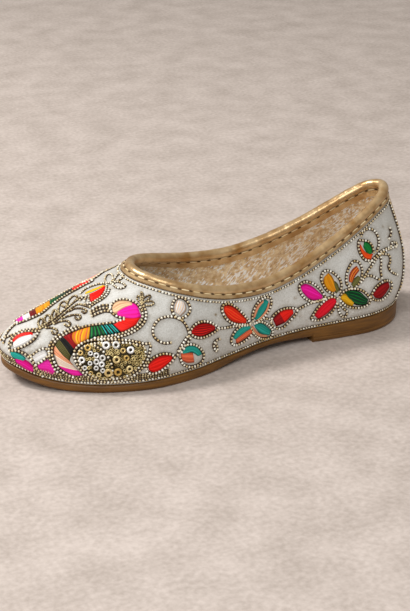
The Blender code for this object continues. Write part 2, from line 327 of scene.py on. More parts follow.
aim_sight = sight([AIM_PIXEL])[0]
eye = AIM - aim_sight * DISTANCE / (aim_sight @ forward)
camera = bpy.data.objects.new("camera", bpy.data.cameras.new("camera"))
bpy.context.scene.collection.objects.link(camera)
camera.data.sensor_width = SENSOR
camera.data.lens = SENSOR * FOCAL_PIXELS / max(PHOTO_SIZE)
turned = Matrix(np.column_stack([right, up, -forward]).tolist()).to_4x4()
camera.matrix_world = Matrix.Translation(eye) @ turned
bpy.context.scene.camera = camera
print("the camera's lens is", round(camera.data.lens, 1), "mm")

# %% [markdown]
# ## A node and a colour
# One function adds a node to a tree, with its settings and its sockets, which hold a value or a link.
# Colours are written as on a screen and turned to the linear light that a shader mixes. A pattern is placed
# by the object's own coordinates, so its scale is one over a real size on the shoe.


# %% Small helpers for materials
def add(tree, kind, sockets=None, **settings):
    node = tree.nodes.new(kind)
    for name, value in settings.items():
        setattr(node, name, value)
    for name, value in (sockets or {}).items():
        if isinstance(value, bpy.types.NodeSocket):
            tree.links.new(value, node.inputs[name])
        else:
            node.inputs[name].default_value = value
    return node


def colour(code):
    parts = np.array([int(code[i:i + 2], 16) / 255 for i in (1, 3, 5)])
    linear = np.where(parts <= 0.04045, parts / 12.92, ((parts + 0.055) / 1.055) ** 2.4)
    return (*linear.tolist(), 1.0)


def new_material(name):
    made = bpy.data.materials.new(name)
    made.use_nodes = True
    tree = made.node_tree
    return made, tree, tree.nodes["Principled BSDF"], add(tree, "ShaderNodeTexCoord").outputs["Object"]


def toned(tree, pattern, low, high, dark, bright):
    """A colour that goes from dark to bright as the pattern goes from low to high."""
    share = add(tree, "ShaderNodeMapRange", {0: pattern, 1: low, 2: high}).outputs[0]
    sockets = {0: share, 6: colour(dark), 7: colour(bright)}
    return add(tree, "ShaderNodeMix", sockets, data_type="RGBA").outputs[2]


print("a screen's middle grey is", round(colour("#808080")[0], 3), "in linear light")

# %% [markdown]
# ## Cream leatherette
# The upper's face is polyurethane on a knitted back, embossed with a pebble grain. It gives the eye a soft
# sheen that pebbles of under a millimetre break up. Its tone is darkened by painted shade in the troughs
# beside the beads, darker towards the sole, and stained in a few spots. How much is a number stored on each
# point of the cover, which the material reads as an attribute.

# %% Cream leatherette
GRAIN = 0.9 * MM
CREASE = 3.5 * MM


def cream_leatherette():
    made, tree, shader, place = new_material("cream_pu_leatherette")
    patches = add(tree, "ShaderNodeTexNoise", {"Vector": place, "Scale": 1 / (45 * MM), "Detail": 3.0})
    weave = add(tree, "ShaderNodeTexNoise", {"Vector": place, "Scale": 1 / (0.7 * MM), "Detail": 2.0})
    both = add(tree, "ShaderNodeMath", {
        0: patches.outputs[0], 1: weave.outputs[0],
    }, operation="ADD").outputs[0]
    clean = toned(tree, both, 0.75, 1.25, "#BFBEB8", "#DCDCD8")
    shade_and_stains = add(tree, "ShaderNodeAttribute", attribute_name="shade_and_stains").outputs["Fac"]
    specks = add(tree, "ShaderNodeTexNoise", {"Vector": place, "Scale": 1 / (1.6 * MM), "Detail": 3.0})
    patchy = add(tree, "ShaderNodeMapRange", {0: specks.outputs[0], 1: 0.25, 2: 0.6}).outputs[0]
    darkened = add(tree, "ShaderNodeMath", {0: shade_and_stains, 1: patchy}, operation="MULTIPLY").outputs[0]
    # Mixes in a brown: painted shade beside the beads, a darker tone towards the sole, and stains.
    darkened_cream = add(tree, "ShaderNodeMix", {0: darkened, 6: clean, 7: colour("#7C6438")}, data_type="RGBA").outputs[2]
    tree.links.new(darkened_cream, shader.inputs["Base Color"])
    pebbles = add(tree, "ShaderNodeTexVoronoi", {"Vector": place, "Scale": 1 / GRAIN})
    creases = add(tree, "ShaderNodeTexNoise", {"Vector": place, "Scale": 1 / CREASE, "Detail": 4.0})
    fine = add(tree, "ShaderNodeBump", {
        "Height": pebbles.outputs[0], "Strength": 0.25, "Distance": 0.12 * MM,
    })
    broad = add(tree, "ShaderNodeBump", {
        "Height": creases.outputs[0], "Normal": fine.outputs[0], "Strength": 0.35, "Distance": 0.5 * MM,
    })
    tree.links.new(broad.outputs[0], shader.inputs["Normal"])
    sheen = add(tree, "ShaderNodeMapRange", {0: creases.outputs[0], 3: 0.42, 4: 0.58}).outputs[0]
    tree.links.new(sheen, shader.inputs["Roughness"])
    return made


CREAM = cream_leatherette()
print("material:", CREAM.name)

# %% [markdown]
# ## Gold leatherette
# The binding and the back strip are leatherette with a bronze-gold metallic film. It gleams broadly along
# the roll and goes dull in patches of about a centimetre, where the film has rubbed, and fine creases break
# the gleam up.

# %% Gold leatherette
FILM_PATCH = 9 * MM
FILM_CREASE = 1.6 * MM


def gold_leatherette():
    made, tree, shader, place = new_material("gold_film_leatherette")
    patches = add(tree, "ShaderNodeTexNoise", {"Vector": place, "Scale": 1 / FILM_PATCH, "Detail": 4.0})
    film = toned(tree, patches.outputs[0], 0.3, 0.7, "#A67C48", "#DCC094")
    tree.links.new(film, shader.inputs["Base Color"])
    creases = add(tree, "ShaderNodeTexNoise", {"Vector": place, "Scale": 1 / FILM_CREASE, "Detail": 5.0})
    bump = add(tree, "ShaderNodeBump", {"Height": creases.outputs[0], "Strength": 0.4, "Distance": 0.25 * MM})
    tree.links.new(bump.outputs[0], shader.inputs["Normal"])
    shader.inputs["Metallic"].default_value = 0.6
    shader.inputs["Roughness"].default_value = 0.34
    return made


GOLD = gold_leatherette()
print("material:", GOLD.name)

# %% [markdown]
# ## Crinkled foil
# The lining is a thin gold foil on cloth. It has crinkled, so it is dull gold, and the creases run aslant, so
# the pattern is drawn out along that slant. The white glints where a crease turns to the light are painted
# highlights: they come in clusters and are part of the colour, because creases this fine are too many to
# shape one by one.

# %% Crinkled foil
STREAK_WIDTH = 1.1 * MM
STREAK_STRETCH = 3.2
STREAK_SLANT = np.radians(-50)
GLINT_CLUSTER = 9 * MM


def crinkled_foil():
    made, tree, shader, place = new_material("crinkled_gold_foil")
    drawn_out = add(tree, "ShaderNodeMapping", {
        "Vector": place, "Rotation": (0.0, STREAK_SLANT, 0.0), "Scale": (STREAK_STRETCH, 1.0, 1.0),
    }, vector_type="TEXTURE").outputs[0]
    streaks = add(tree, "ShaderNodeTexNoise", {"Vector": drawn_out, "Scale": 1 / STREAK_WIDTH, "Detail": 2.0})
    clusters = add(tree, "ShaderNodeTexNoise", {"Vector": place, "Scale": 1 / GLINT_CLUSTER, "Detail": 2.0})
    both = add(tree, "ShaderNodeMath", {
        0: clusters.outputs[0], 1: 0.5, 2: streaks.outputs[0],
    }, operation="MULTIPLY_ADD").outputs[0]
    # Painted highlights: white colour where the streaks peak, with the metal taken out there.
    glint = add(tree, "ShaderNodeMapRange", {0: both, 1: 0.78, 2: 0.82}).outputs[0]
    folds = add(tree, "ShaderNodeTexNoise", {"Vector": place, "Scale": 1 / (3.0 * MM), "Detail": 5.0})
    dull = toned(tree, folds.outputs[0], 0.35, 0.65, "#CDAD80", "#FAEBCE")
    foil = add(tree, "ShaderNodeMix", {0: glint, 6: dull, 7: colour("#FFFFFF")}, data_type="RGBA").outputs[2]
    tree.links.new(foil, shader.inputs["Base Color"])
    bump = add(tree, "ShaderNodeBump", {"Height": streaks.outputs[0], "Strength": 1.0, "Distance": 0.8 * MM})
    tree.links.new(bump.outputs[0], shader.inputs["Normal"])
    film = add(tree, "ShaderNodeMapRange", {0: glint, 3: 0.45, 4: 0.0}).outputs[0]
    tree.links.new(film, shader.inputs["Metallic"])
    shader.inputs["Roughness"].default_value = 0.3
    return made


FOIL = crinkled_foil()
print("material:", FOIL.name)

# %% [markdown]
# ## Brown rubber
# The sole is moulded thermoplastic rubber, its side painted and wiped. That leaves it matt, with faint
# level streaks. Underneath, a diagonal tread shows, which is fine enough to be a bump: it is only switched
# on where the surface faces down.

# %% Brown rubber
TREAD_PITCH = 4.245 * MM
# A diagonal wave turns by ten radians a unit along each axis, so by ten times the root of 2 square across.
WAVE_SCALE = 2 * np.pi / (10 * np.sqrt(2))


def brown_rubber():
    made, tree, shader, place = new_material("brown_moulded_rubber")
    level_streaks = add(tree, "ShaderNodeMapping", {"Vector": place, "Scale": (1.0, 1.0, 9.0)})
    streaks = add(tree, "ShaderNodeTexNoise", {
        "Vector": level_streaks.outputs[0], "Scale": 1 / (16 * MM), "Detail": 5.0,
    })
    paint = toned(tree, streaks.outputs[0], 0.3, 0.7, "#5A3808", "#805416")
    tree.links.new(paint, shader.inputs["Base Color"])
    tread = add(tree, "ShaderNodeTexWave", {
        "Vector": place, "Scale": WAVE_SCALE / TREAD_PITCH, "Distortion": 0.0,
    }, bands_direction="DIAGONAL")
    square = add(tree, "ShaderNodeNewGeometry").outputs["True Normal"]
    facing = add(tree, "ShaderNodeSeparateXYZ", {0: square})
    below = add(tree, "ShaderNodeMapRange", {0: facing.outputs[2], 1: -0.8, 2: -0.95}).outputs[0]
    depth = add(tree, "ShaderNodeMath", {0: tread.outputs[1], 1: below}, operation="MULTIPLY")
    pores = add(tree, "ShaderNodeTexNoise", {"Vector": place, "Scale": 1 / (0.8 * MM), "Detail": 3.0})
    fine = add(tree, "ShaderNodeBump", {"Height": pores.outputs[0], "Strength": 0.3, "Distance": 0.1 * MM})
    bump = add(tree, "ShaderNodeBump", {
        "Height": depth.outputs[0], "Normal": fine.outputs[0], "Strength": 1.0, "Distance": 0.8 * MM,
    })
    tree.links.new(bump.outputs[0], shader.inputs["Normal"])
    shader.inputs["Roughness"].default_value = 0.5
    return made


RUBBER = brown_rubber()
print("material:", RUBBER.name)

# %% [markdown]
# ## Embroidery thread
# Embroidery thread is twisted rayon, dyed and glossy. Each thread takes the light a little differently, so a
# number stored on every thread tints it, and a second number darkens it with painted shade where it dips
# beside the beads.
# Real threads are about half as wide as these: one here stands for a bundle, so that it shows in the
# render.

# %% Dye the threads
SHADED_EDGE, DARK, BRIGHT = 0.3, 0.75, 1.6


def dyed(code, strength, white=0.0):
    return (*(min(1.0, strength * part + white) for part in colour(code)[:3]), 1.0)


def satin_thread(name, code):
    made, tree, shader, _ = new_material(name + "_rayon_satin_stitch")
    strand = add(tree, "ShaderNodeAttribute", attribute_name="strand").outputs["Fac"]
    edge_shade = add(tree, "ShaderNodeAttribute", attribute_name="edge_shade").outputs["Fac"]
    lit = add(tree, "ShaderNodeMix", {
        0: strand, 6: dyed(code, DARK), 7: dyed(code, BRIGHT, white=0.01),
    }, data_type="RGBA").outputs[2]
    # Painted shade where the thread dips beside the beads.
    thread = add(tree, "ShaderNodeMix", {0: edge_shade, 6: lit, 7: dyed(code, SHADED_EDGE)}, data_type="RGBA").outputs[2]
    tree.links.new(thread, shader.inputs["Base Color"])
    shader.inputs["Roughness"].default_value = 0.42
    shader.inputs["Specular IOR Level"].default_value = 0.12
    return made


DYES = {name: satin_thread(name, code) for name, code in {
    "scarlet": "#F4160A",
    "crimson": "#F01028",
    "flame": "#FF4A10",
    "maroon": "#8E0408",
    "magenta": "#FF0E92",
    "rose": "#F8249C",
    "peach": "#E8B088",
    "coral": "#E4623E",
    "orange": "#EC840C",
    "amber": "#E0A010",
    "olive": "#5F5C2C",
    "bottle_green": "#0E7430",
    "forest": "#06301C",
    "teal": "#1E9488",
    "black": "#0C0C0A",
    "shell": "#EADAD2",
    "ivory": "#E6E0DA",
    "bronze": "#2A210A",
    "cyan": "#18B8B0",
}.items()}
print("dyed threads:", len(DYES))

# %% [markdown]
# ## Beads, cord and metal trim
# Everything small and repeated shares one recipe: a dark and a bright colour, and a number stored on each
# copy that picks the tint between them. The metals are pressed or drawn and thinly plated, so they are set
# between paint and full metal: a full metal this small would only mirror the dim room and lose its own
# colour.


# %% Beads, cord and metal trim
def tinted_trim(name, dark, bright, metallic, roughness):
    made, tree, shader, _ = new_material(name)
    strand = add(tree, "ShaderNodeAttribute", attribute_name="strand").outputs["Fac"]
    tint = add(tree, "ShaderNodeMix", {
        0: strand, 6: colour(dark), 7: colour(bright),
    }, data_type="RGBA").outputs[2]
    tree.links.new(tint, shader.inputs["Base Color"])
    shader.inputs["Metallic"].default_value = metallic
    shader.inputs["Roughness"].default_value = roughness
    return made


# Plated beads, rubbed pale: each is a bright point.
BEAD = tinted_trim("pale_gold_metal_bead", "#D8BC7E", "#FFFFF4", 0.1, 0.25)
# A cord under the beads, its dark colour painted shade between them.
CORD = tinted_trim("dark_cord_painted_gap_shade", "#3C2408", "#563812", 0.1, 0.5)
# Coiled bronze wire: darker and duller than the beads.
PURL = tinted_trim("bronze_purl_wire", "#6C5228", "#E8D6A6", 0.2, 0.35)
# Painted shade between the binding's stitches, and painted shadow along the outer band's lower edge.
PAINTED_SHADE = tinted_trim("painted_shade_at_stitches_and_edge", "#4A3214", "#5E421E", 0.0, 0.8)
# Cotton sewing thread: matt and pale on the gold.
STITCH = tinted_trim("cream_sewing_thread", "#D8C08C", "#F0DFB6", 0.0, 0.6)
# Silver foil, brass wire and gold foil: the three glints of the wing.
SILVER = tinted_trim("silver_foil_sequin", "#E0DED8", "#FFFFFF", 0.2, 0.25)
BRASS = tinted_trim("brass_ring", "#C9A456", "#F2DDA4", 0.4, 0.3)
SEQUIN_GOLD = tinted_trim("gold_sequin", "#7A6226", "#E6D294", 0.5, 0.3)
print("materials:", len(bpy.data.materials))

# %% [markdown]
# ## Meshes from rows of points
# Most pieces are a grid of points: stations round the shoe, and a section at each. A ring closes both ways.
# Its doubles are merged and its faces turned outwards once it is closed. Leather and foil are never quite
# even, and a few waves in random directions, added up, make an unevenness that is the same in every run.

# %% Turn grids into pieces
RIPPLE_WAVES = 14
RIPPLE_TURNS = 2.2
RIPPLE_STRENGTH = 1.9


def shaded_piece(name, points, faces, materials, sharp=40.0, recalculate=True):
    mesh = bpy.data.meshes.new(name)
    mesh.from_pydata([tuple(point) for point in points], [], faces)
    if recalculate:
        shape = bmesh.new()
        shape.from_mesh(mesh)
        bmesh.ops.remove_doubles(shape, verts=shape.verts, dist=GAP / 100)
        bmesh.ops.recalc_face_normals(shape, faces=shape.faces)
        shape.to_mesh(mesh)
        shape.free()
    mesh.shade_smooth()
    if sharp:
        mesh.set_sharp_from_angle(angle=np.radians(sharp))
    for material in materials:
        mesh.materials.append(material)
    piece = bpy.data.objects.new(name, mesh)
    bpy.context.scene.collection.objects.link(piece)
    return piece


def grid_faces(stations, rows, around, through):
    """Faces of a grid, which may close around its stations and through its rows."""
    faces = []
    for i in range(stations if around else stations - 1):
        for j in range(rows if through else rows - 1):
            k, m = (i + 1) % stations, (j + 1) % rows
            faces.append((i * rows + j, i * rows + m, k * rows + m, k * rows + j))
    return faces


def ring_piece(name, grid, material):
    stations, rows, _ = grid.shape
    return shaded_piece(name, grid.reshape(-1, 3), grid_faces(stations, rows, True, True), [material])


def finish_piece(piece, slot, *nodes):
    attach(piece, "root")
    if nodes:
        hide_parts(*nodes)
    triangles = sum(len(face.vertices) - 2 for face in piece.data.polygons)
    print(f"{piece.name}: {triangles} triangles")


def ripple(points, size, seed):
    """Soft unevenness of about -1 to 1 at each point, with bumps about that size."""
    draw = np.random.default_rng(seed)
    waves = draw.normal(size=(RIPPLE_WAVES, 3)) * RIPPLE_TURNS / size
    phases = draw.uniform(0, 2 * np.pi, RIPPLE_WAVES)
    return np.sin(points @ waves.T + phases).mean(axis=-1) * RIPPLE_STRENGTH


def layered(points, layers):
    """Ripples added up, each with its height, the size of its bumps and its seed."""
    return sum(height * ripple(points, size, seed) for height, size, seed in layers)


# %% [markdown]
# ## Lay the embroidery on the shoe
# The embroiderer works the flat panels before they are sewn. Here the motifs are drawn in the photograph's
# pixels and cast along the camera's lines of sight onto the upper, which gives them their place on the real
# surface. The peacock and the flowers are worked again on the other side as a mirror image. The fern, the
# tulip, the little flower and the toe's leaf stand once, on the middle of the vamp, and a banded ribbon runs
# along the far rim of the vamp only.

# %% Cast pixels onto the upper
CAST_RIBS = 20
CAST_ROWS = 90
SEARCHES = 12
EYE = Vector(eye)
plain_wall = Wall(np.linspace(0, LAST_RIB, CAST_RIBS * LAST_RIB + 1))
plain_grid, _ = plain_wall.at(plain_wall.length[:, None] * np.linspace(0, 1, CAST_ROWS))
cast_net = BVHTree.FromPolygons(
    plain_grid.reshape(-1, 3).tolist(), grid_faces(len(plain_grid), CAST_ROWS, True, False)
)


def on_upper(pixels):
    """Where the lines of sight meet the upper, or pass it most closely, and its normals there."""
    spots, normals = [], []
    for line in sight(pixels):
        direction = Vector(line)
        spot, normal, _, _ = cast_net.ray_cast(EYE, direction)
        if spot is None:
            reach = DISTANCE
            for _ in range(SEARCHES):
                spot, normal, _, _ = cast_net.find_nearest(EYE + direction * reach)
                reach = (spot - EYE).dot(direction)
        if normal.dot(direction) > 0:
            normal = -normal
        spots.append(spot)
        normals.append(normal)
    return np.array(spots), np.array(normals)


def through(points, count):
    """A smooth curve through some points, read at evenly spaced shares of its rows."""
    rows = np.asarray(points, float)
    rows = np.vstack([2 * rows[0] - rows[1], rows, 2 * rows[-1] - rows[-2]])
    return smooth(rows, np.linspace(0, len(rows) - 3, count))


print("points of the net that motifs are cast on:", plain_grid.shape[0] * CAST_ROWS)

# %% [markdown]
# ## The filled shapes, drawn one by one
# Each petal, leaf or stretch of the peacock is filled with satin stitch. It has two edges that run the same
# way, with as many points on one as on the other. Its threads have one colour, or one for each stretch
# between two points, and a stretch with several colours in brackets has them in turn, thread by thread.

# %% Draw the filled shapes
PEACOCK_FILLS = {
    "face": (("peach",), [(113, 309), (114.5, 304.5), (120, 302), (127, 302.3), (132.5, 304)],
             [(113.5, 311.5), (116.5, 313), (121.5, 309.5), (127, 306.5), (132.8, 304.4)]),
    "cheek": (("magenta",), [(117, 313.5), (122, 309.5), (128, 306), (133, 304.2), (137, 307)],
              [(119, 315.5), (124, 317), (130, 318.3), (136, 318.3), (140.5, 315.5)]),
    "throat": (("scarlet",), [(125, 318.8), (132, 318.4), (139.8, 318.2)],
               [(113.8, 324.6), (121.5, 331), (136, 324.2)]),
    "neck": ((("black", "black", "cyan", "black", "teal"), ("forest", "forest", "bottle_green"),
              ("orange", "orange", "amber", "coral"), "maroon", "black", ("olive", "bronze"),
              ("coral", "peach"), ("peach", "shell"), ("rose", "magenta")),
             [(113.5, 324.5), (99, 326), (86, 328.5), (66, 335.5), (62, 338), (57.5, 341.5), (54.3, 349.5),
              (55.5, 357), (60, 367), (73, 375)],
             [(121, 331.5), (109, 334), (94, 336.5), (79.5, 343.5), (76, 347.5), (73, 352), (69.5, 359),
              (71.5, 363.5), (76.5, 369), (82, 375)]),
    "wing": (("bronze",),
             [(76, 352), (84, 344.5), (97, 341.5), (112, 341.5), (128, 342.5), (144, 346)],
             [(78, 362), (84, 371), (96, 378), (111, 380), (128, 376), (146, 360)]),
}
CENTRE_FILLS = {
    "tulip_yellow": ((("bottle_green", "ivory", "amber", "amber", "amber", "amber", "amber"),),
                     [(85.5, 293.5), (92, 290), (98, 288), (104.3, 285.6)],
                     [(86, 294.6), (92, 293.3), (98, 290.3), (104.6, 287)]),
    "tulip_red": (("scarlet",), [(90, 295), (98, 291), (104.6, 287.3)],
                  [(91, 300.5), (98.5, 297.5), (104.8, 288.4)]),
    "toe_leaf_red": (("scarlet",), [(32.5, 332.8), (24, 333.4), (17, 336), (12.8, 341)],
                     [(32.5, 335), (25, 336), (18.5, 338.5), (13.6, 342.5)]),
    "toe_leaf_white": (("ivory",), [(32, 335.5), (25, 336.5), (18.5, 339), (13.5, 344)],
                       [(32.5, 337), (28, 341.5), (21, 345.5), (14, 347.5)]),
}
FAR_FILLS = {
    "ribbon": (("rose", "ivory", ("black", "maroon"), ("orange", "amber", "orange"), ("orange", "amber"),
                ("forest", "bottle_green", "forest"), "forest", "black", "scarlet", "scarlet"),
               [(24, 331), (30, 325.5), (37, 321), (44, 317.5), (54, 315.5), (64, 314), (74, 312.5),
                (85, 310),
                (93, 307.5), (101, 305), (110, 301)],
               [(31, 338), (36, 333.5), (42, 330.5), (49, 328), (58, 326), (67, 324.5), (77, 323), (88, 321),
                (97, 318.5), (106, 315.5), (114, 309)]),
}
TOE_FILLS = {
    "toe_teal": (("teal",), [(11, 352.2), (16, 353), (21, 355.3), (25, 359)],
                 [(11.3, 353.5), (14, 357), (18.5, 359), (24.5, 360)]),
    "toe_magenta": (("magenta",), [(15.5, 359.3), (22, 359.8), (28.5, 363), (33.8, 368.5)],
                    [(16.3, 361), (21.5, 365), (27.5, 369), (33.5, 370.5)]),
    "toe_square": (("ivory",), [(32.5, 356.3), (38, 352.5), (45, 351)],
                   [(36, 363), (41.5, 360.5), (47, 356.5)]),
    "toe_magenta_small": (("rose",), [(38, 366.3), (44, 362), (49.5, 361.5), (54.5, 369.5)],
                          [(39, 367.7), (44, 370.5), (49, 372.5), (54, 373)]),
}
QUARTER_FILLS = {
    "bud_cream": ((("shell", "shell", "peach"),), [(175, 311), (174.7, 305.5), (178, 301)],
                  [(179.5, 315), (185, 309.5), (183, 302.5)]),
    "marquise_dark": ((("maroon", "maroon", "scarlet"),),
                      [(191, 331.5), (196, 326.5), (203, 324.2), (209, 324.8), (214.6, 327)],
                      [(191.2, 332.2), (195, 334.5), (201, 335.6), (208, 332.5), (214.8, 327.6)]),
    "marquise_red": (("scarlet",), [(148.8, 366.5), (153, 361.2), (160, 357.4), (166, 356.4), (171.8, 357.3)],
                     [(149.3, 368.3), (153, 371), (159, 369.5), (165, 365), (172, 357.9)]),
    "bud_teal": (("teal",), [(181.5, 351.7), (185.5, 347.8), (192, 346.6), (197.5, 349), (201, 354.5)],
                 [(182, 352.8), (186.5, 352.6), (191, 351.2), (195, 352.8), (199, 355.5)]),
    "bud_red": (("coral",), [(181.8, 354.5), (187, 353.5), (192.5, 354)],
                [(182.5, 359), (187, 361.5), (193.5, 361)]),
    "petal_red_upper": ((("scarlet", "scarlet", "flame"),),
                        [(224.3, 308), (230, 307), (236.5, 311), (241.5, 316), (246, 321.3)],
                        [(224.5, 310), (227.5, 316), (233, 320.5), (239.5, 322), (246, 321.9)]),
    "petal_teal_upper": (("teal",), [(255.5, 318.7), (257.5, 312.5), (261, 305.5), (266, 300.3)],
                         [(255.9, 319), (261, 314.5), (265.3, 308), (267.2, 301)]),
    "petal_orange_left": ((("coral", "peach"),), [(253.3, 317.5), (255, 311), (258, 305), (263, 301)],
                          [(254.6, 317.5), (256.7, 311.5), (260, 305.7), (264, 301.6)]),
    "petal_orange_right": ((("coral", "peach"),), [(256.5, 319.7), (262, 315), (266.2, 309), (268, 303)],
                           [(257.3, 321), (263.3, 316), (267.8, 309.5), (269, 303.2)]),
    "petal_teal_lower": (("teal",), [(249.8, 326.3), (243, 327), (237, 331.5), (234, 337.5)],
                         [(250, 327.6), (245.5, 331), (240, 335), (234.6, 338.4)]),
    "petal_coral": (("coral",), [(251, 329), (246, 331.8), (240.5, 335.8), (236, 339.7)],
                    [(252, 331.5), (247.5, 335.5), (242, 339.3), (236.8, 342.3)]),
    "petal_teal_right": (("teal",), [(254.5, 325), (261, 324.2), (266.5, 327.6), (270, 332)],
                         [(255, 326), (259, 331), (264, 333.7), (269.8, 333)]),
    "petal_orange_below": ((("coral", "peach"),), [(252.5, 326.4), (256, 330.8), (261, 334.2), (267, 334.8)],
                           [(251.6, 327.5), (254.8, 332.8), (260, 336.2), (267, 336.4)]),
    "petal_red_right": (("scarlet", "scarlet", "maroon"),
                        [(292.5, 311), (286, 310.6), (279.5, 313.5), (273.5, 320)],
                        [(292.7, 311.8), (289, 316.5), (284, 321.5), (275.5, 325)]),
    "petal_magenta": (("magenta",), [(301.3, 288), (305.5, 285), (312, 287.5), (317.5, 292), (322, 297)],
                      [(302.5, 290.5), (306.5, 295.5), (311.5, 298.5), (317, 298.8), (322, 297.7)]),
    "petal_crimson": (("crimson",), [(315.6, 316), (319, 309), (325, 303), (331, 299.3), (335, 299.5)],
                      [(317.3, 317.5), (324, 314.3), (329.5, 309.5), (333.5, 304.8), (335.5, 300.5)]),
    "petal_orange_rear": ((("orange", "orange", "amber"),),
                          [(327.5, 274.3), (331.5, 278), (334, 284.5), (334.8, 291)],
                          [(325, 277), (324.6, 282.5), (328, 288.5), (334, 291.3)]),
    "petal_olive_rear": (("olive",), [(334.3, 282.5), (337, 284.5), (338.5, 289.5)],
                         [(334.6, 286), (335, 289.5), (336.5, 292)]),
    "petal_coral_rear": ((("coral", "maroon", "orange"),),
                         [(356.8, 266.8), (352.5, 270.5), (350, 276), (350, 281.5)],
                         [(358.5, 269.8), (356, 273.5), (353.3, 277.5), (351, 282)]),
    "petal_green_rear": (("olive",), [(352.3, 284.5), (354, 280), (358.5, 276.8)],
                         [(353.6, 286), (357.5, 283), (359.5, 277.8)]),
    "petal_forest": ((("forest", "forest", "bottle_green", "forest"),),
                     [(345.5, 293.6), (351.5, 291.2), (359, 292.6), (363.5, 296.5), (367.3, 301)],
                     [(346.5, 295), (351, 300.5), (356, 303.7), (362, 304), (367, 301.8)]),
    "petal_amber": (("amber",), [(341.3, 297), (345, 294.8), (349.5, 299), (353.3, 303.3)],
                    [(341.8, 298.5), (345, 302), (349, 304), (352.8, 304.2)]),
    "petal_maroon": (("maroon",), [(373.5, 294.6), (377.5, 289), (383.5, 284.6), (388.5, 283.8)],
                     [(374.6, 296.2), (380, 297), (385, 292.5), (389, 285)]),
    "heel_leaf_red": (("flame",), [(360.3, 245.5), (362.5, 250), (366.5, 253.8), (372.5, 254.6)],
                      [(360, 247.5), (361.8, 252.5), (365.2, 257.5), (370.3, 259)]),
    "heel_leaf_green": (("bottle_green",), [(364.5, 243.5), (368.5, 244.5), (370.7, 249.5), (370.3, 253.5)],
                        [(364, 245.5), (365.3, 249), (367.5, 251.8), (369.8, 253.8)]),
}
print("filled shapes:", sum(map(len, (PEACOCK_FILLS, CENTRE_FILLS, FAR_FILLS, TOE_FILLS, QUARTER_FILLS))))

# %% [markdown]
# ## The bead chains, drawn one by one
# Chains of beads outline each filled shape, and stems, curls and loops of the same chain join the shapes
# into sprays. A chain is a line of points in the photograph's pixels. A smooth curve is drawn through them,
# so a line has points only where its bend changes. The sprays are grouped by the side of the shoe and by
# the trim they get.

# %% Draw the bead chains
PEACOCK_CHAINS = {
    "head": [(109.5, 310), (112, 304.5), (117, 300.8), (122, 299.5), (127, 300), (133, 301.5), (138, 305),
             (141.5, 310), (142.8, 315.5), (141, 321.5), (136, 326.8), (130, 330.5), (123, 333.3),
             (113, 335.8),
             (103, 337), (95, 338.4)],
    "head_outer": [(142.3, 304), (145.3, 310), (146.2, 316.5), (144, 323), (138.5, 328.7), (131.5, 332.8),
                   (123, 336), (112, 338.4), (101, 339.4)],
    "jaw": [(110, 309.5), (113, 314), (118.5, 317.3), (124, 318.3)],
    "nape": [(124, 320), (115, 322.3), (105, 323.8), (96, 324.8), (87, 326.2), (79, 328.3), (71, 331.5),
             (64, 335.3), (57.5, 339.7), (53.3, 345), (52, 351), (53, 358), (56.5, 365.5), (62.5, 371.5),
             (71, 376), (80, 378.5)],
    "nape_outer": [(78, 326.2), (69.5, 329.6), (62, 333.6), (55, 338.4), (50.5, 344), (49, 350.5),
                   (50, 358.5),
                   (54, 367.5), (60, 373.8)],
}
BEAK_CHAINS = {
    "beak_top": [(110.5, 305.5), (103, 305.5), (96.5, 307.6), (90.5, 311.8)],
    "beak_middle": [(110.5, 308.5), (103, 308.6), (97, 310.4), (91, 313.8)],
    "beak_bottom": [(111.5, 312), (105, 311.4), (99, 313.3), (92, 316.3)],
}
CROWN_CHAINS = {
    "crown_stem": [(142.5, 309), (140.8, 303)],
    "crown_1": [(140, 302.5), (137.3, 299.5), (138, 295.8), (140.3, 297.8), (140.5, 302)],
    "crown_2": [(141.2, 301), (141, 296), (141.3, 291.8), (143, 295), (142, 301)],
    "crown_3": [(142, 302), (144.3, 297.7), (149.3, 295.2), (150.3, 297), (146.5, 300.8), (142.4, 302.2)],
    "crown_4": [(142, 303.8), (146.5, 301.3), (152, 301.3), (153.8, 303.5), (150, 305.6), (145, 305.2),
                (142, 304)],
}
WING_CHAINS = {
    "wing_rim": [(149.5, 343.5), (144.5, 343.8), (137, 342), (129, 340.6), (121, 340), (112, 339.8),
                 (103, 340), (94, 340), (86, 341.7), (79.5, 345.3), (75, 350.3), (74.3, 356.5), (77, 364),
                 (82, 371), (89, 376.7), (98, 380.3), (107, 381.8), (117, 381.3), (127, 378.8), (135.5, 374),
                 (142.5, 367.5), (147.3, 359.5), (149.8, 351.5), (150.5, 346)],
    "wing_inner": [(143.5, 346.5), (136, 344.6), (128, 343.4), (119, 342.8), (110, 343), (101, 343.2),
                   (93, 344), (85, 346.5), (79.5, 351), (77.8, 357), (80.5, 364.5), (85.5, 370.7),
                   (92.5, 375.3), (101, 378), (110, 378.6), (120, 377.6), (129, 374.6), (136, 369.8),
                   (142, 363), (145.3, 355), (144.8, 348.5)],
    "wing_feather": [(95, 346), (101.5, 350), (107, 355.5), (110.8, 362), (112.3, 369), (112, 377)],
}
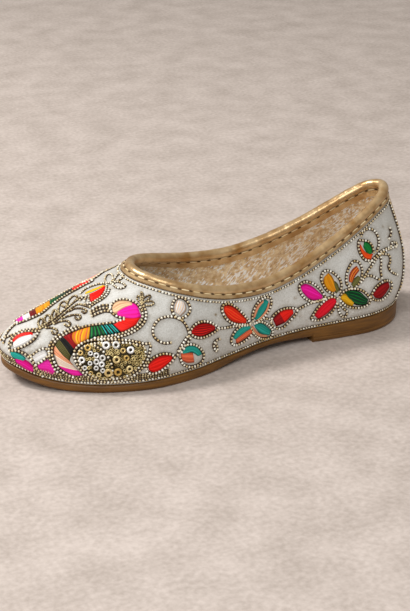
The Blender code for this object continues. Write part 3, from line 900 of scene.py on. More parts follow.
CENTRE_CHAINS = {
    "tulip_upper": [(80.5, 293.5), (86, 289), (93, 286), (100, 284), (106.5, 283.6)],
    "tulip_lower": [(107, 285.5), (105.8, 291), (102.5, 296), (97.5, 299.6), (91.5, 303.3), (85, 304.5)],
    "tulip_outer": [(109.6, 289), (107.2, 294.4), (102.5, 299), (96.5, 302.6), (90, 306.6)],
    "tulip_fan_1": [(89, 295), (88.8, 301)],
    "tulip_fan_2": [(86.5, 296), (84.6, 301.6)],
    "tulip_fan_3": [(84, 296.5), (80, 300.5)],
    "flower_loop_1": [(111, 283.5), (106, 282.5), (105.2, 278.5), (108, 274.5), (112, 274.8), (113, 279),
                      (111.2, 283)],
    "flower_loop_2": [(113.5, 281.5), (116, 277), (119.5, 273.8), (123.3, 275.5), (121, 279), (116, 281.8)],
    "flower_loop_3": [(113, 284), (116.5, 282), (121.5, 282.8), (125.3, 285.3), (123, 288), (117.5, 288),
                      (113.3, 285)],
}
FERN_CHAINS = {
    "fern_stem": [(36, 331), (43, 327.3), (51, 324), (58, 319.2), (64.5, 314), (71, 308.6), (78, 304.5),
                  (85, 305.8), (90, 307.6)],
    "fern_stem_upper": [(40, 327), (48, 323), (56, 317.5), (63, 311.5), (69.5, 306), (76, 301), (81, 297)],
    "fern_curl_1": [(46, 328), (51.5, 328), (56.5, 329.8), (57, 333), (53.5, 334), (52, 331.4)],
    "fern_curl_2": [(54, 324), (60.5, 321.6), (67, 321), (70.3, 323.8), (68, 326.6), (64.8, 324.8)],
    "fern_curl_3": [(62, 318.5), (68, 316.3), (74, 315), (79.5, 315.2), (80.3, 318), (77.3, 319.6),
                    (75.3, 317.4)],
    "fern_curl_4": [(69, 311.5), (75, 308.8), (82, 308.6), (86.3, 310.5), (84.6, 313.2), (82, 311.5)],
    "fern_leaf_1": [(39.5, 327.5), (38.3, 322.5), (40.8, 318.6), (43.4, 321), (42, 325.5)],
    "fern_leaf_2": [(46, 324), (44.6, 319), (47.2, 315.2), (50.2, 317), (49.2, 322)],
    "fern_leaf_3": [(52.5, 320.5), (52, 315), (54.3, 310), (56.5, 312.6), (55, 318)],
    "fern_leaf_4": [(58.5, 315), (58.7, 308), (61, 303.4), (65, 301.6), (67.3, 304), (65.2, 307.2),
                    (62.3, 305.8)],
    "fern_leaf_5": [(66.5, 307.5), (68.3, 301.6), (72, 297.2), (76, 296), (77.3, 298.8), (74.5, 301.4)],
}
FAR_CHAINS = {
    "ribbon_upper": [(22, 329.5), (28.5, 323.5), (36, 318.8), (43.5, 315.3), (54, 313.3), (64, 311.8),
                     (74, 310.2),
                     (85, 307.7), (93, 305.2), (101, 302.6), (109, 298.6), (114, 301), (116.5, 306)],
    "ribbon_lower": [(31, 341), (37, 336), (43, 333), (50, 330.5), (59, 328.4), (68, 327), (78, 325.4),
                     (89, 323.3), (98, 320.8), (107, 318), (116.5, 309.5)],
}
LEAF_CHAINS = {
    "toe_leaf": [(40.5, 329), (33, 329.6), (24, 330.3), (17, 333.2), (11.8, 338.2), (9.3, 344.5),
                 (10.5, 350.3),
                 (16, 349.2), (23, 346.6), (30, 342.6), (35.5, 337.6), (39.3, 331.5)],
    "toe_leaf_inner": [(36, 331.8), (26, 332), (18, 334.7), (13, 339.3), (11.3, 345)],
}
TOE_CHAINS = {
    "toe_lower_top": [(10, 351), (18, 351), (26, 354.6), (32, 360.6), (36.2, 367.5), (40.5, 374.5)],
    "toe_stem": [(30.5, 355.5), (34.4, 362.8), (38.4, 369.6), (43, 375.6)],
    "toe_square": [(31.3, 356.3), (37.6, 351.4), (45, 348.6), (49, 351.8)],
    "toe_square_low": [(36.3, 364.6), (41.4, 361.6), (46.3, 357.6), (49.5, 354)],
    "toe_rim": [(4, 343), (6, 335.5), (11, 328.6), (17.5, 322.8)],
}
QUARTER_CHAINS = {
    "bud": [(178.6, 318.6), (173.8, 315), (171.8, 309), (172.8, 303), (176, 298.8), (180.5, 297.6),
            (185.4, 300), (188.9, 304.5), (190.2, 309.6), (188.2, 314.3), (184, 317.5), (179.4, 318.8)],
    "c_ring": [(181, 320), (175.5, 317.7), (168, 316.8), (160.5, 318.8), (155.3, 323.6), (152.9, 330),
               (154, 336.4), (158.8, 341), (164.8, 343.2), (170.6, 342.6)],
    "c_ring_arc": [(179.6, 318.6), (184, 322.6), (187, 327.4), (188.8, 333), (188.7, 336)],
    "marquise_dark": [(189.7, 332), (193.6, 326), (199.6, 322.2), (206.6, 321.6), (213, 324.2), (218, 328.3),
                      (213.4, 332.6), (207.2, 336), (200.5, 338), (194, 336.8), (189.9, 333)],
    "stem_1": [(187, 337), (182.4, 344), (178, 351)],
    "stem_2": [(190, 338.4), (185.8, 345.2), (181.2, 352)],
    "marquise_red": [(146, 368.6), (148.3, 362.4), (154, 357.3), (162, 354), (170, 354.2), (174.4, 357.3),
                     (170, 362.8), (165, 367.6), (158, 372), (151, 373.6), (146.9, 371)],
    "marquise_joint": [(174.5, 357), (177.8, 354), (178.6, 351)],
    "bud_lower": [(180, 350.4), (184, 345.7), (191.6, 344.3), (198.6, 347), (203.3, 353.4), (202.5, 360),
                  (197, 365), (189, 366.6), (182.4, 363.6), (179.8, 357)],
    "curl": [(219, 338.8), (215.4, 341), (213.4, 344.4), (214, 348.6), (216.4, 351), (217, 347),
             (215.3, 343.4)],
    "stem_front": [(218.6, 328.6), (226, 327.6), (234, 326.2), (242, 325.6), (249.6, 323.6)],
    "petal_red_upper": [(250, 323), (245.8, 317.3), (240, 311), (234, 306), (228, 303.8), (223, 305.2),
                        (221.6, 310), (224.8, 317.4), (230.5, 322.4), (237.5, 324.6), (244.5, 324.2)],
    "petal_teal_upper": [(252.6, 321), (252, 315.6), (254.4, 308), (258.4, 302), (263.6, 298), (269.4, 297.4),
                         (271.3, 301.6), (269.6, 308.2), (265, 315.6), (258.3, 321.4)],
    "petal_teal_lower": [(249.4, 325), (242, 325.8), (235.5, 330.4), (232, 336), (231, 342), (234.4, 345),
                         (241, 342.8), (247.6, 338.2), (252.6, 332.6)],
    "petal_teal_right": [(254, 323.4), (260.6, 321.6), (268, 324.6), (272.3, 331), (269.8, 337.2),
                         (261, 338.4),
                         (254.6, 334.6), (251, 328.6)],
    "petal_red_right": [(270.6, 321.6), (272.6, 316), (278.6, 311), (285.6, 308.3), (293, 308), (297, 309.8),
                        (294.3, 315.6), (290, 320), (286, 324.6), (279.6, 328.6), (273.4, 326.6),
                        (270.9, 323)],
    "petal_link": [(256, 322.6), (262, 319), (267.6, 318.6), (271, 320.6)],
    "stem_rear": [(297, 309.6), (303, 306.4), (309, 303.4), (315, 301.4), (322, 299.4), (331, 297)],
    "petal_magenta": [(325, 296.8), (321.4, 290.8), (316.6, 286), (310.6, 282.6), (304.6, 281.8),
                      (299.6, 285),
                      (299.4, 290.6), (303.4, 297), (309.4, 300.8), (316.6, 301.6), (323.6, 299)],
    "petal_crimson": [(337, 298.6), (331.4, 296.8), (324.4, 300.6), (318.6, 306.6), (314, 313), (311.4, 319),
                      (319.6, 319.8), (327, 316.2), (333, 310), (336.6, 303.6)],
    "petal_orange_rear": [(334.6, 294.3), (327.4, 291), (322.8, 284.4), (321, 277.6), (323.6, 271.6),
                          (328.8, 270.8), (334.6, 274), (339.4, 278.8), (341.4, 285), (340, 291.4)],
    "petal_coral_rear": [(350.6, 288.4), (346.6, 283.4), (346.4, 275.6), (348.8, 267.6), (353.4, 261.4),
                         (358.8, 262.4), (361.8, 268.6), (361.6, 276.4), (358.6, 283.6), (354, 288.6)],
    "petal_forest": [(339.4, 297), (343.6, 291.4), (351, 288.8), (359.4, 289.4), (366, 293.4), (370.2, 299.6),
                     (367.4, 304.6), (361, 307.2), (353.6, 307.6), (346, 305.8), (340.4, 301)],
    "petal_maroon": [(370.6, 296), (374.6, 288.6), (380.8, 282.6), (387, 280.4), (391.4, 283), (390.4, 289.6),
                     (386.2, 295.8), (380.8, 299.8), (374, 299.8), (370.9, 297)],
    "small_motif": [(337.4, 303.4), (338.2, 309.6), (341, 315.4), (344.8, 316.4), (347, 311.6),
                    (343.4, 308.4),
                    (340.4, 305)],
    "heel_leaf": [(371, 261), (364.6, 259.6), (360.4, 254), (358.2, 247), (359, 240.6), (362.6, 240.4),
                  (368, 241.4), (372, 246), (373.6, 252.4)],
    "heel_arc": [(361, 236), (363.6, 230.8), (369.6, 228.8), (375, 231.6), (378, 237.6), (378.6, 244.6),
                 (376.6, 251)],
    "heel_stem_1": [(364, 277), (368, 270.6), (372.6, 264), (377, 257.6), (383, 252), (390, 248.6),
                    (396, 245.6)],
    "heel_stem_2": [(369.6, 263), (375.4, 256.6), (382, 250.6), (388, 247.8)],
    "heel_drop": [(380, 254), (381, 262), (380.4, 270), (381.6, 278)],
    "heel_foot": [(361, 282), (365.6, 276.4), (372, 276), (378.6, 279.4)],
    "heel_curl": [(382.6, 254), (388.6, 255), (390, 261), (388.4, 267), (391.6, 272), (396.6, 274.4)],
    "heel_drop_upper": [(389.6, 228), (390.8, 233), (388.8, 238.6)],
    "heel_panel": [(387.6, 198), (389.9, 205), (393.2, 214.5), (396.4, 224.5), (399.4, 235), (401.6, 245),
                   (403, 255), (403.3, 265), (402.4, 276), (400, 286.5), (395.4, 297.5)],
    "heel_bud": [(390.6, 246), (392, 242.6), (396.4, 243.2), (395.4, 247)],
}
print("chains on a flank:", len(QUARTER_CHAINS), "of the peacock:", len(PEACOCK_CHAINS) + len(WING_CHAINS))

# %% [markdown]
# ## Chains as lines on the surface
# Each chain becomes a line of points on the upper, with the surface's normal at each, so that beads can lie
# on it. The two sides share the peacock's body, the wing, the toe and the quarter, and the far side gets
# them mirrored. The beak and the toe's leaf have no mirror image: the ribbon's chains take their place
# there.

# %% Gather the chains
CURVE_STEPS = 8


def chain_lines(drawn):
    """Lines as they are drawn on the near side: a name, and its points and normals."""
    return {name: on_upper(through(points, CURVE_STEPS * len(points))) for name, points in drawn.items()}


def mirrored(lines):
    return {name: (spots * (1, -1, 1), normals * (1, -1, 1)) for name, (spots, normals) in lines.items()}


SIDE_CHAINS = {**PEACOCK_CHAINS, **WING_CHAINS, **TOE_CHAINS, **QUARTER_CHAINS}
near_chains = chain_lines({**SIDE_CHAINS, **BEAK_CHAINS, **LEAF_CHAINS})
far_chains = mirrored(chain_lines({**SIDE_CHAINS, **FAR_CHAINS}))
near_crown = chain_lines(CROWN_CHAINS)
far_crown = mirrored(near_crown)
flower_chains = chain_lines(CENTRE_CHAINS)
fern_chains = chain_lines(FERN_CHAINS)

print("chains on the near side:", len(near_chains) + len(near_crown))

# %% [markdown]
# ## Chains along the seams
# More chains follow the shoe's own seams: one under the binding, one along the sole and one down each side
# of the back strip. Three rows of purl run above the sole, round the toe only. They are found by their
# distance down the ribs, and the binding's own measures say where it ends.

# %% Follow the seams
band_face = WALL / 2 + GAP + BAND_THICKNESS
roll_radius = WALL / 2 + GAP + ROLL_PADDING
roll_drop = np.sqrt((roll_radius - ROLL_COVER) ** 2 - (WALL / 2 + GAP) ** 2) - GAP
groove = roll_drop + np.sqrt(roll_radius**2 - (band_face - GROOVE_DEPTH) ** 2)
band_end = groove + BAND_WIDTH
lining_end = band_end + LINING_BAND_EXTRA
COLLAR_CHAIN_DOWN = band_end + 1.9 * MM
FEATHER_CHAIN_UP = 1.3 * MM
BESIDE_STRIP = 0.07
BACK_POINTS = 60
TOE_ROWS_UP = (2.7 * MM, 3.9 * MM, 5.1 * MM)
TOE_ROWS_END = 5.3
TOE_POINTS = 120


def closed_line(spots, normals):
    """The first column of some points and normals, with its start again at its end."""
    return np.vstack([spots[:, 0], spots[:1, 0]]), np.vstack([normals[:, 0], normals[:1, 0]])


def seam_line(distances):
    """A closed line right round the shoe, at these distances down the ribs."""
    return closed_line(*plain_wall.at(distances))


def back_line():
    """Down the near side of the back strip."""
    wall = Wall(np.array([LAST_RIB - BACK_STRIP_SHARE - BESIDE_STRIP, LAST_RIB]))
    start, end = COLLAR_CHAIN_DOWN, wall.length[0] - FEATHER_CHAIN_UP
    spots, normals = wall.at(np.linspace(start, end, BACK_POINTS))
    return spots[0], normals[0]


collar_chain = {"collar": seam_line(np.full((len(plain_wall.length), 1), COLLAR_CHAIN_DOWN))}
feather_chains = {"feather": seam_line((plain_wall.length - FEATHER_CHAIN_UP)[:, None])}
toe_wall = Wall(np.linspace(0, TOE_ROWS_END, TOE_POINTS))
toe_rows = {}
for height in TOE_ROWS_UP:
    spots, square = toe_wall.at((toe_wall.length - height)[:, None])
    near_row = {"near": (spots[:TOE_POINTS, 0], square[:TOE_POINTS, 0])}
    toe_rows[f"near_{height}"] = near_row["near"]
    toe_rows[f"far_{height}"] = mirrored(near_row)["near"]
back_chains = {"back": back_line()}
back_chains["back_far"] = mirrored(back_chains)["back"]
print("the binding's outer band ends", round(band_end / MM, 1), "mm below the collar's edge")

# %% [markdown]
# ## The cream cover
# The cover is one moulded shell. Each row of stitching pulls the leatherette down, so there is a soft
# trough along every chain and the cover pillows a little between them. The creases that the photograph
# shows are placed one by one, each with its line, its height and its reach.

# %% Mould the cover
CREASES = {
    "pleat in the C ring": ([(175.5, 331.5), (180.5, 328.2), (186.5, 326.5)], -0.30 * MM, 0.7 * MM),
    "lower pleat in the C ring": ([(177.0, 334.5), (182.0, 331.8), (187.0, 331.0)], -0.22 * MM, 0.7 * MM),
    "fold beside the toe leaf": ([(32, 341), (37.5, 338.4), (44, 337.4), (51, 339.8)], -0.40 * MM, 1.3 * MM),
    "ridge above that fold": ([(35.5, 335.5), (41, 333.2), (49, 333.8)], 0.30 * MM, 2.0 * MM),
    "dent at the heel": ([(382.5, 221), (384, 227), (383.6, 232)], -0.45 * MM, 2.2 * MM),
    "pull at the throat": ([(133, 281.5), (142, 290), (149, 299)], -0.20 * MM, 2.6 * MM),
    "swell of the side": ([(226, 334), (222, 326), (214, 318)], 0.18 * MM, 3.5 * MM),
}
COVER = 1.1 * MM
COVER_RIBS = 21
COVER_ROWS = 84
COVER_BACK_ROWS = 10
PUCKER = 0.28 * MM
PUCKER_REACH = 1.5 * MM
SWELLS = ((0.10 * MM, 14 * MM, 3), (0.05 * MM, 4 * MM, 4))
CREASE_POINTS = 24
ALL_CHAINS = [near_chains, far_chains, near_crown, far_crown, flower_chains, fern_chains, collar_chain,
              feather_chains, toe_rows, back_chains]
chain_spots = np.vstack([spots for lines in ALL_CHAINS for spots, _ in lines.values()])
stitched = KDTree(len(chain_spots))
for number, spot in enumerate(chain_spots):
    stitched.insert(spot, number)
stitched.balance()
creases = [
    (on_upper(through(pixels, CREASE_POINTS))[0], height, reach) for pixels, height, reach in CREASES.values()
]


def relief(points):
    """How far the cover stands out or is pulled in at these points of the plain wall."""
    flat = points.reshape(-1, 3)
    away = np.array([stitched.find(spot)[2] for spot in flat])
    trough = -PUCKER * np.exp(-((away / PUCKER_REACH) ** 2))
    soft = layered(flat, SWELLS)
    for line, height, reach in creases:
        near = np.linalg.norm(flat[:, None] - line, axis=2).min(axis=1)
        soft = soft + height * np.exp(-((near / reach) ** 2))
    return (trough + soft).reshape(points.shape[:-1])


def cover_ring():
    wall = Wall(np.linspace(0, LAST_RIB, COVER_RIBS * LAST_RIB + 1))
    outer = np.linspace(0, 1, COVER_ROWS)
    inner = np.linspace(1, 0, COVER_BACK_ROWS)
    downs = wall.length[:, None] * outer
    spots, square = wall.at(downs)
    spots = spots + square * relief(spots)[..., None]
    lined, _ = wall.at(wall.length[:, None] * inner, -COVER)
    return np.concatenate([spots, lined], axis=1)


cover = ring_piece("upper_cover", cover_ring(), CREAM)
print("points of the cover:", len(cover.data.vertices))

# %% [markdown]
# ## Painted shade and stains on the cover
# The cover is darkened in clouds: painted shade in the troughs beside the beads, and a darker tone towards
# the sole. There are a few small stains, and one spot of painted shade in the dent at the heel. Each point of
# the cover gets a number for it, because a stored number can follow the chains, which a pattern in the
# material can't.

# %% Darken the cover with painted shade and stains
SHADE_BESIDE_BEADS = 0.42
SHADE_BESIDE_REACH = 2.6 * MM
DARKER_TOWARDS_SOLE = 0.30
DARKENING_HEIGHT = 40 * MM
DARKENING_CLOUDS = ((0.45, 11 * MM, 7),)
DARKENING_LEVEL = 0.75
# Four small stains, and at (383.6, 226.5) a spot of painted shade in the dent at the heel.
STAIN_AND_DENT_SPOTS = ((215.8, 314.7), (295.0, 298.0), (301.0, 316.0), (383.6, 226.5), (148.5, 301.5))
SPOT_REACH = 0.9 * MM
stain_and_dent_spots, _ = on_upper(STAIN_AND_DENT_SPOTS)


def shade_and_stains(points):
    """How much the cover is darkened: painted shade beside the beads, more towards the sole, and spots."""
    away = np.array([stitched.find(spot)[2] for spot in points])
    # Painted shade in the troughs beside the beads, and a darker tone towards the sole.
    beside = SHADE_BESIDE_BEADS * np.exp(-((away / SHADE_BESIDE_REACH) ** 2))
    low_down = DARKER_TOWARDS_SOLE * np.clip(1 - (points[:, 2] - FORE_THICKNESS) / DARKENING_HEIGHT, 0, 1)
    cloudy = DARKENING_LEVEL + layered(points, DARKENING_CLOUDS)
    spotted = np.linalg.norm(points[:, None] - stain_and_dent_spots, axis=2).min(axis=1)
    spots = np.exp(-((spotted / SPOT_REACH) ** 2))
    return np.clip((beside + low_down) * cloudy + spots, 0, 1)


cover_points = np.empty(3 * len(cover.data.vertices))
cover.data.vertices.foreach_get("co", cover_points)
darkening = cover.data.attributes.new("shade_and_stains", "FLOAT", "POINT")
darkening.data.foreach_set("value", shade_and_stains(cover_points.reshape(-1, 3)))
finish_piece(cover, "upper", "upper")

# %% [markdown]
# ## The foil lining
# The lining is a second shell inside the cover. Foil on thin cloth never lies flat, so its inner face is
# crumpled by a fraction of a millimetre, and the material adds the finer crinkles.

# %% Mould the lining
CRUMPLE = 0.26 * MM
CRUMPLES = ((0.5, 5 * MM, 11), (0.5, 2.5 * MM, 12))
LINING_RIBS = 14
LINING_ROWS = 60
LINING_BACK_ROWS = 8
BEHIND_COVER = 0.1 * MM


def lining_ring():
    wall = Wall(np.linspace(0, LAST_RIB, LINING_RIBS * LAST_RIB + 1))
    downs = wall.length[:, None] * np.linspace(0, 1, LINING_ROWS)
    inner, square = wall.at(downs, -WALL)
    inner = inner + square * (CRUMPLE * (1 + layered(inner, CRUMPLES)))[..., None]
    back, _ = wall.at(wall.length[:, None] * np.linspace(1, 0, LINING_BACK_ROWS), -COVER - BEHIND_COVER)
    return np.concatenate([inner, back], axis=1)


lining = ring_piece("foil_lining", lining_ring(), FOIL)
finish_piece(lining, "upper", "upper")

# %% [markdown]
# ## The sole
# The outsole is moulded in one with its low heel. Its side is rounded at the top and bevelled at the
# bottom, and a fine groove above the heel's bottom marks the top piece. The loft runs across the half sole
# through a list of levels, each a distance out past the feather line and a height. The heel's front face is
# as steep as a moulded one: two stations almost at one place.

# %% Mould the outsole
TOP_PIECE_HEIGHT = 3.0 * MM
TOP_PIECE_GROOVE = 0.45 * MM
ROUNDING_TURNS = (90, 65, 40, 15, 0)
GROOVE_STEPS = ((1.0, 0.0), (0.5, 0.6), (0.0, 1.0), (-0.5, 0.6), (-1.0, 0.0))
BEVEL_SHARES = (1.0, 0.6, 0.3, 0.1, 0.0)
SOLE_STATIONS = 260
OUTSOLE_MIDDLE_ROWS = 10
feather_positions = even_ribs(SOLE_STATIONS, foot_points)


def slab(name, line, levels, material, middle_rows):
    """Both halves of a slab: each level is an edge, and the first and last reach to the middle plane."""
    edges = [np.column_stack([line[:, :2] + line[:, 2:] * np.reshape(out, (-1, 1)), height])
             for out, height in levels]
    shares = np.linspace(0, 1, middle_rows + 1)[:-1, None]
    first = [edges[0] * (1, 0, 1) + edges[0] * (0, 1, 0) * share for share in shares]
    last = [edges[-1] * (1, 0, 1) + edges[-1] * (0, 1, 0) * share for share in shares[::-1]]
    sheet = np.stack([*first, *edges, *last], axis=1) + (TOE_STEP, 0, 0)
    stations, rows, _ = sheet.shape
    points = np.vstack([sheet.reshape(-1, 3), (sheet * (1, -1, 1)).reshape(-1, 3)])
    near = grid_faces(stations, rows, False, False)
    far = [tuple(stations * rows + corner for corner in face[::-1]) for face in near]
    return shaded_piece(name, points, near + far, [material])


def feather_line(positions):
    """The feather line in plan, with the directions out of it, as four columns."""
    return np.hstack([foot_points(half_ring(positions)), out_of_outline(positions)])


def outsole_piece():
    line = feather_line(feather_positions)
    breast = LAST_LENGTH - HEEL_LENGTH
    ends = breast + np.array([-0.5, 0.5]) * BREAST_SLANT
    added = np.column_stack([np.interp(ends, line[:, 0], column) for column in line.T])
    line = np.vstack([line[np.abs(line[:, 0] - breast) > 2 * BREAST_SLANT], added])
    line = line[np.argsort(line[:, 0], kind="stable")]
    x = line[:, 0]
    top, under = sole_top(x), sole_underside(x)
    rounding = np.minimum(EDGE_ROUNDING, (top - under) / 3)
    bevel = np.minimum(BOTTOM_BEVEL, (top - under) / 2)
    heel = np.where(x > breast, 1.0, 0.0)
    levels = []
    for turn in np.radians(ROUNDING_TURNS):
        levels.append((SOLE_MARGIN - rounding * (1 - np.cos(turn)), top - rounding * (1 - np.sin(turn))))
    mark = under + TOP_PIECE_HEIGHT
    for step, depth in GROOVE_STEPS:
        height = np.minimum(mark + step * TOP_PIECE_GROOVE, top - rounding * 1.2)
        levels.append((SOLE_MARGIN - heel * depth * TOP_PIECE_GROOVE * 0.8, height))
    for share in BEVEL_SHARES:
        levels.append((SOLE_MARGIN - BOTTOM_BEVEL / 2 * (1 - share) ** 2, under + bevel * share))
    return slab("outsole_moulded", line, levels, RUBBER, OUTSOLE_MIDDLE_ROWS)


outsole = outsole_piece()
finish_piece(outsole, "outsole", "outsole")

# %% [markdown]
# ## The insole
# A sock of foam, covered with the lining's foil, is glued in over the sole. It is a soft pillow: flat over
# the foot and rounded down to its edge.

# %% Lay the insole
PILLOW_EDGE = ((9.0, 1.0), (4.5, 0.97), (2.0, 0.9), (0.8, 0.8), (0.2, 0.62), (0.0, 0.4), (0.0, 0.0))
INSOLE_MIDDLE_ROWS = 8


def insole_piece():
    line = feather_line(feather_positions)
    seat = sole_top(line[:, 0]) + GAP
    edge = -WALL - INSOLE_CLEARANCE
    levels = []
    for inward, rise in PILLOW_EDGE:
        levels.append((edge - inward * MM * np.ones(len(line)), seat + INSOLE_THICKNESS * rise))
    return slab("insole_sock", line, levels, FOIL, INSOLE_MIDDLE_ROWS)


insole = insole_piece()
finish_piece(insole, "insole", "insole")

# %% [markdown]
# ## The padded binding
# A strip of gold leatherette is sewn round the collar over a thin cord of foam. It makes a plump roll on
# the edge, a stitched groove under it, and a flat band on each side. Going round the curve it gathers, so
# small uneven folds run across the roll.

# %% Sew on the binding
GATHER = 0.10 * MM
GATHER_LIMIT = 0.12 * MM
FOLDS = ((1.0, 2.4 * MM, 21), (0.6, 1.1 * MM, 22))
ROLL_UNEVEN = ((0.05 * MM, 3 * MM, 23),)
BAND_UNEVEN = ((0.05 * MM, 5 * MM, 24),)
COLLAR_STATIONS = 380
ROLL_TURNS = 33


def binding_ring():
    wall = Wall(even_ribs(COLLAR_STATIONS, edge_points))
    widest = np.arctan2(groove - roll_drop, band_face - GROOVE_DEPTH)
    bend = groove + GROOVE_WIDTH
    inner_rows = ((lining_end, 0.75), (lining_end - 0.3 * MM, 1.0), (band_end, 1.0), (groove + 1.4 * MM, 1.0),
                  (bend, 0.97))
    outer_rows = ((bend, 0.97), (groove + 1.4 * MM, 1.0), (band_end - 0.35 * MM, 1.0), (band_end, 0.75))
    section = [(down, -band_face * out) for down, out in inner_rows]
    turns = np.linspace(widest, -np.pi - widest, ROLL_TURNS)
    section += [(roll_drop + roll_radius * np.sin(turn), -roll_radius * np.cos(turn)) for turn in turns]
    section += [(down, band_face * out) for down, out in outer_rows]
    wall_face = WALL / 2 + GAP
    section += [(band_end, wall_face), (groove, wall_face), (0.0, wall_face), (-GAP, wall_face)]
    section += [(-GAP, -wall_face), (0.0, -wall_face), (groove, -wall_face), (lining_end, -wall_face)]
    downs, outs = np.array(section).T
    spots, square = wall.at(downs[None, :], outs[None, :] - WALL / 2)
    roll_start = len(inner_rows)
    roll_end = roll_start + ROLL_TURNS
    on_roll = slice(roll_start, roll_end)
    middle = spots[:, on_roll].mean(axis=1, keepdims=True)
    folds = layered(middle[:, 0], FOLDS)
    swell = GATHER * (folds[:, None] * np.sin(np.linspace(0, np.pi, ROLL_TURNS)) ** 0.5)
    swell = swell + layered(spots[:, on_roll], ROLL_UNEVEN)
    out = unit(spots[:, on_roll] - middle)
    spots[:, on_roll] += out * np.minimum(swell, GATHER_LIMIT)[..., None]
    bands = [*range(roll_start), *range(roll_end, roll_end + len(outer_rows))]
    spots[:, bands] += square[:, bands] * layered(spots[:, bands], BAND_UNEVEN)[..., None]
    return spots


binding = ring_piece("collar_binding_leatherette", binding_ring(), GOLD)
finish_piece(binding, "binding", "collar_binding")

# %% [markdown]
# ## The strip over the back seam
# The two quarters meet at the back of the heel, and a narrow gold strip covers the seam. It is a low pad,
# its edges turned under. The near half is worked out on a few ribs close to the middle and mirrored, and
# its top and underside are joined by a rim.

# %% Lay the back strip
STRIP_RIBS = 9
STRIP_ROWS = 70


def back_strip_piece():
    wall = Wall(np.linspace(LAST_RIB - BACK_STRIP_SHARE, LAST_RIB, STRIP_RIBS))
    start = band_end + 2 * GAP
    length = wall.length - start - BACK_STRIP_THICKNESS
    downs = start + length[:, None] * np.linspace(0, 1, STRIP_ROWS)
    face, square = wall.at(downs, GAP)
    face, square = face[:STRIP_RIBS], square[:STRIP_RIBS]
    face = np.concatenate([face, (face * (1, -1, 1))[-2::-1]])
    square = np.concatenate([square, (square * (1, -1, 1))[-2::-1]])
    side = np.abs(np.linspace(-1, 1, len(face)))
    ends = np.abs(np.linspace(-1, 1, STRIP_ROWS))
    height = (1 - side[:, None] ** 6) * (1 - ends[None, :] ** 40)
    outer = face + square * (BACK_STRIP_THICKNESS * (0.35 + 0.65 * height))[..., None]
    stations, rows, _ = face.shape
    points = np.vstack([outer.reshape(-1, 3), face.reshape(-1, 3)])
    top = grid_faces(stations, rows, False, False)
    count = stations * rows
    faces = top + [tuple(count + corner for corner in quad[::-1]) for quad in top]
    rim = [i * rows for i in range(stations)] + [(stations - 1) * rows + j for j in range(1, rows)]
    rim += [i * rows + rows - 1 for i in range(stations - 2, -1, -1)] + list(range(rows - 2, 0, -1))
    for here, there in zip(rim, rim[1:] + rim[:1]):
        faces.append((here, there, there + count, here + count))
    return shaded_piece("back_strip_leatherette", points, faces, [GOLD])


back_strip = back_strip_piece()
finish_piece(back_strip, "binding", "back_strip")

# %% [markdown]
# ## Small trim by Geometry Nodes
# Beads, purl, stitches and sequins are one small shape, repeated hundreds of times. A tree sets such a
# shape at every point it is given, stores a random tint on each copy, and ends with real meshes that have a
# material, because copies that are only instances don't leave Blender. The seed is fixed, so every run
# looks the same.


# %% Strew a shape over points
def new_tree(name, sizes):
    """A tree with these sizes and a seed as its inputs, and what the inputs hold."""
    tree = bpy.data.node_groups.new(name, "GeometryNodeTree")
    tree.interface.new_socket("Geometry", in_out="INPUT", socket_type="NodeSocketGeometry")
    for size in sizes:
        tree.interface.new_socket(size, in_out="INPUT", socket_type="NodeSocketFloat")
    tree.interface.new_socket("Seed", in_out="INPUT", socket_type="NodeSocketInt")
    tree.interface.new_socket("Geometry", in_out="OUTPUT", socket_type="NodeSocketGeometry")
    return tree, add(tree, "NodeGroupInput").outputs


def strewn(tree, points, shape, turn, scale, seed, material):
    """The shape at every point as a real mesh, each copy with a tint of its own."""
    copies = add(tree, "GeometryNodeInstanceOnPoints", {
        "Points": points, "Instance": shape, "Rotation": turn, "Scale": scale,
    }).outputs[0]
    tint = add(tree, "FunctionNodeRandomValue", {"Seed": seed}).outputs[1]
    tinted = add(tree, "GeometryNodeStoreNamedAttribute", {
        0: copies, "Name": "strand", "Value": tint,
    }, domain="INSTANCE").outputs[0]
    real = add(tree, "GeometryNodeRealizeInstances", {0: tinted}).outputs[0]
    return add(tree, "GeometryNodeSetMaterial", {0: real, "Material": material}).outputs[0]


def run_tree(name, lines, tree, inputs, lift, wide=None):
    """The tree's result along these lines as a plain mesh. The lines lie that far above the plain wall."""
    points, normals, edges = [], [], []
    for spots, square in lines:
        start = len(points)
        points += (spots + square * lift).tolist()
        normals += square.tolist()
        edges += [(start + i, start + i + 1) for i in range(len(spots) - 1)]
    mesh = bpy.data.meshes.new(name)
    mesh.from_pydata(points, edges, [])
    mesh.attributes.new("lay", "FLOAT_VECTOR", "POINT").data.foreach_set("vector", np.ravel(normals))
    if wide is not None:
        mesh.attributes.new("wide", "FLOAT", "POINT").data.foreach_set("value", wide)
    carrier = bpy.data.objects.new(name, mesh)
    bpy.context.scene.collection.objects.link(carrier)
    modifier = carrier.modifiers.new(tree.name, "NODES")
    modifier.node_group = tree
    for socket in tree.interface.items_tree:
        if socket.in_out == "INPUT" and socket.name in inputs:
            modifier[socket.identifier] = inputs[socket.name]
    evaluated = carrier.evaluated_get(bpy.context.evaluated_depsgraph_get())
    made = bpy.data.meshes.new_from_object(evaluated)
    carrier.modifiers.clear()
    carrier.data = made
    return carrier


# %% [markdown]
# ## Beads on a cord
# A chain is a dark cord couched along a line, with a pale bead over it at every pitch; the cord's dark colour
# is painted shade between the beads. The tree resamples the line at the pitch, sets a bead at each point,
# square to the surface and turned along the line, and runs a thin tube along the same line. A bead is a
# sphere of few faces, stretched and a little uneven in size. The same tree without its cord sews stitches.

# %% Build the chain trees
CHAIN_INPUTS = ("Pitch", "Length", "Width", "Height", "Lift", "Cord radius", "Slant")
SMALLEST, LARGEST = 0.88, 1.1


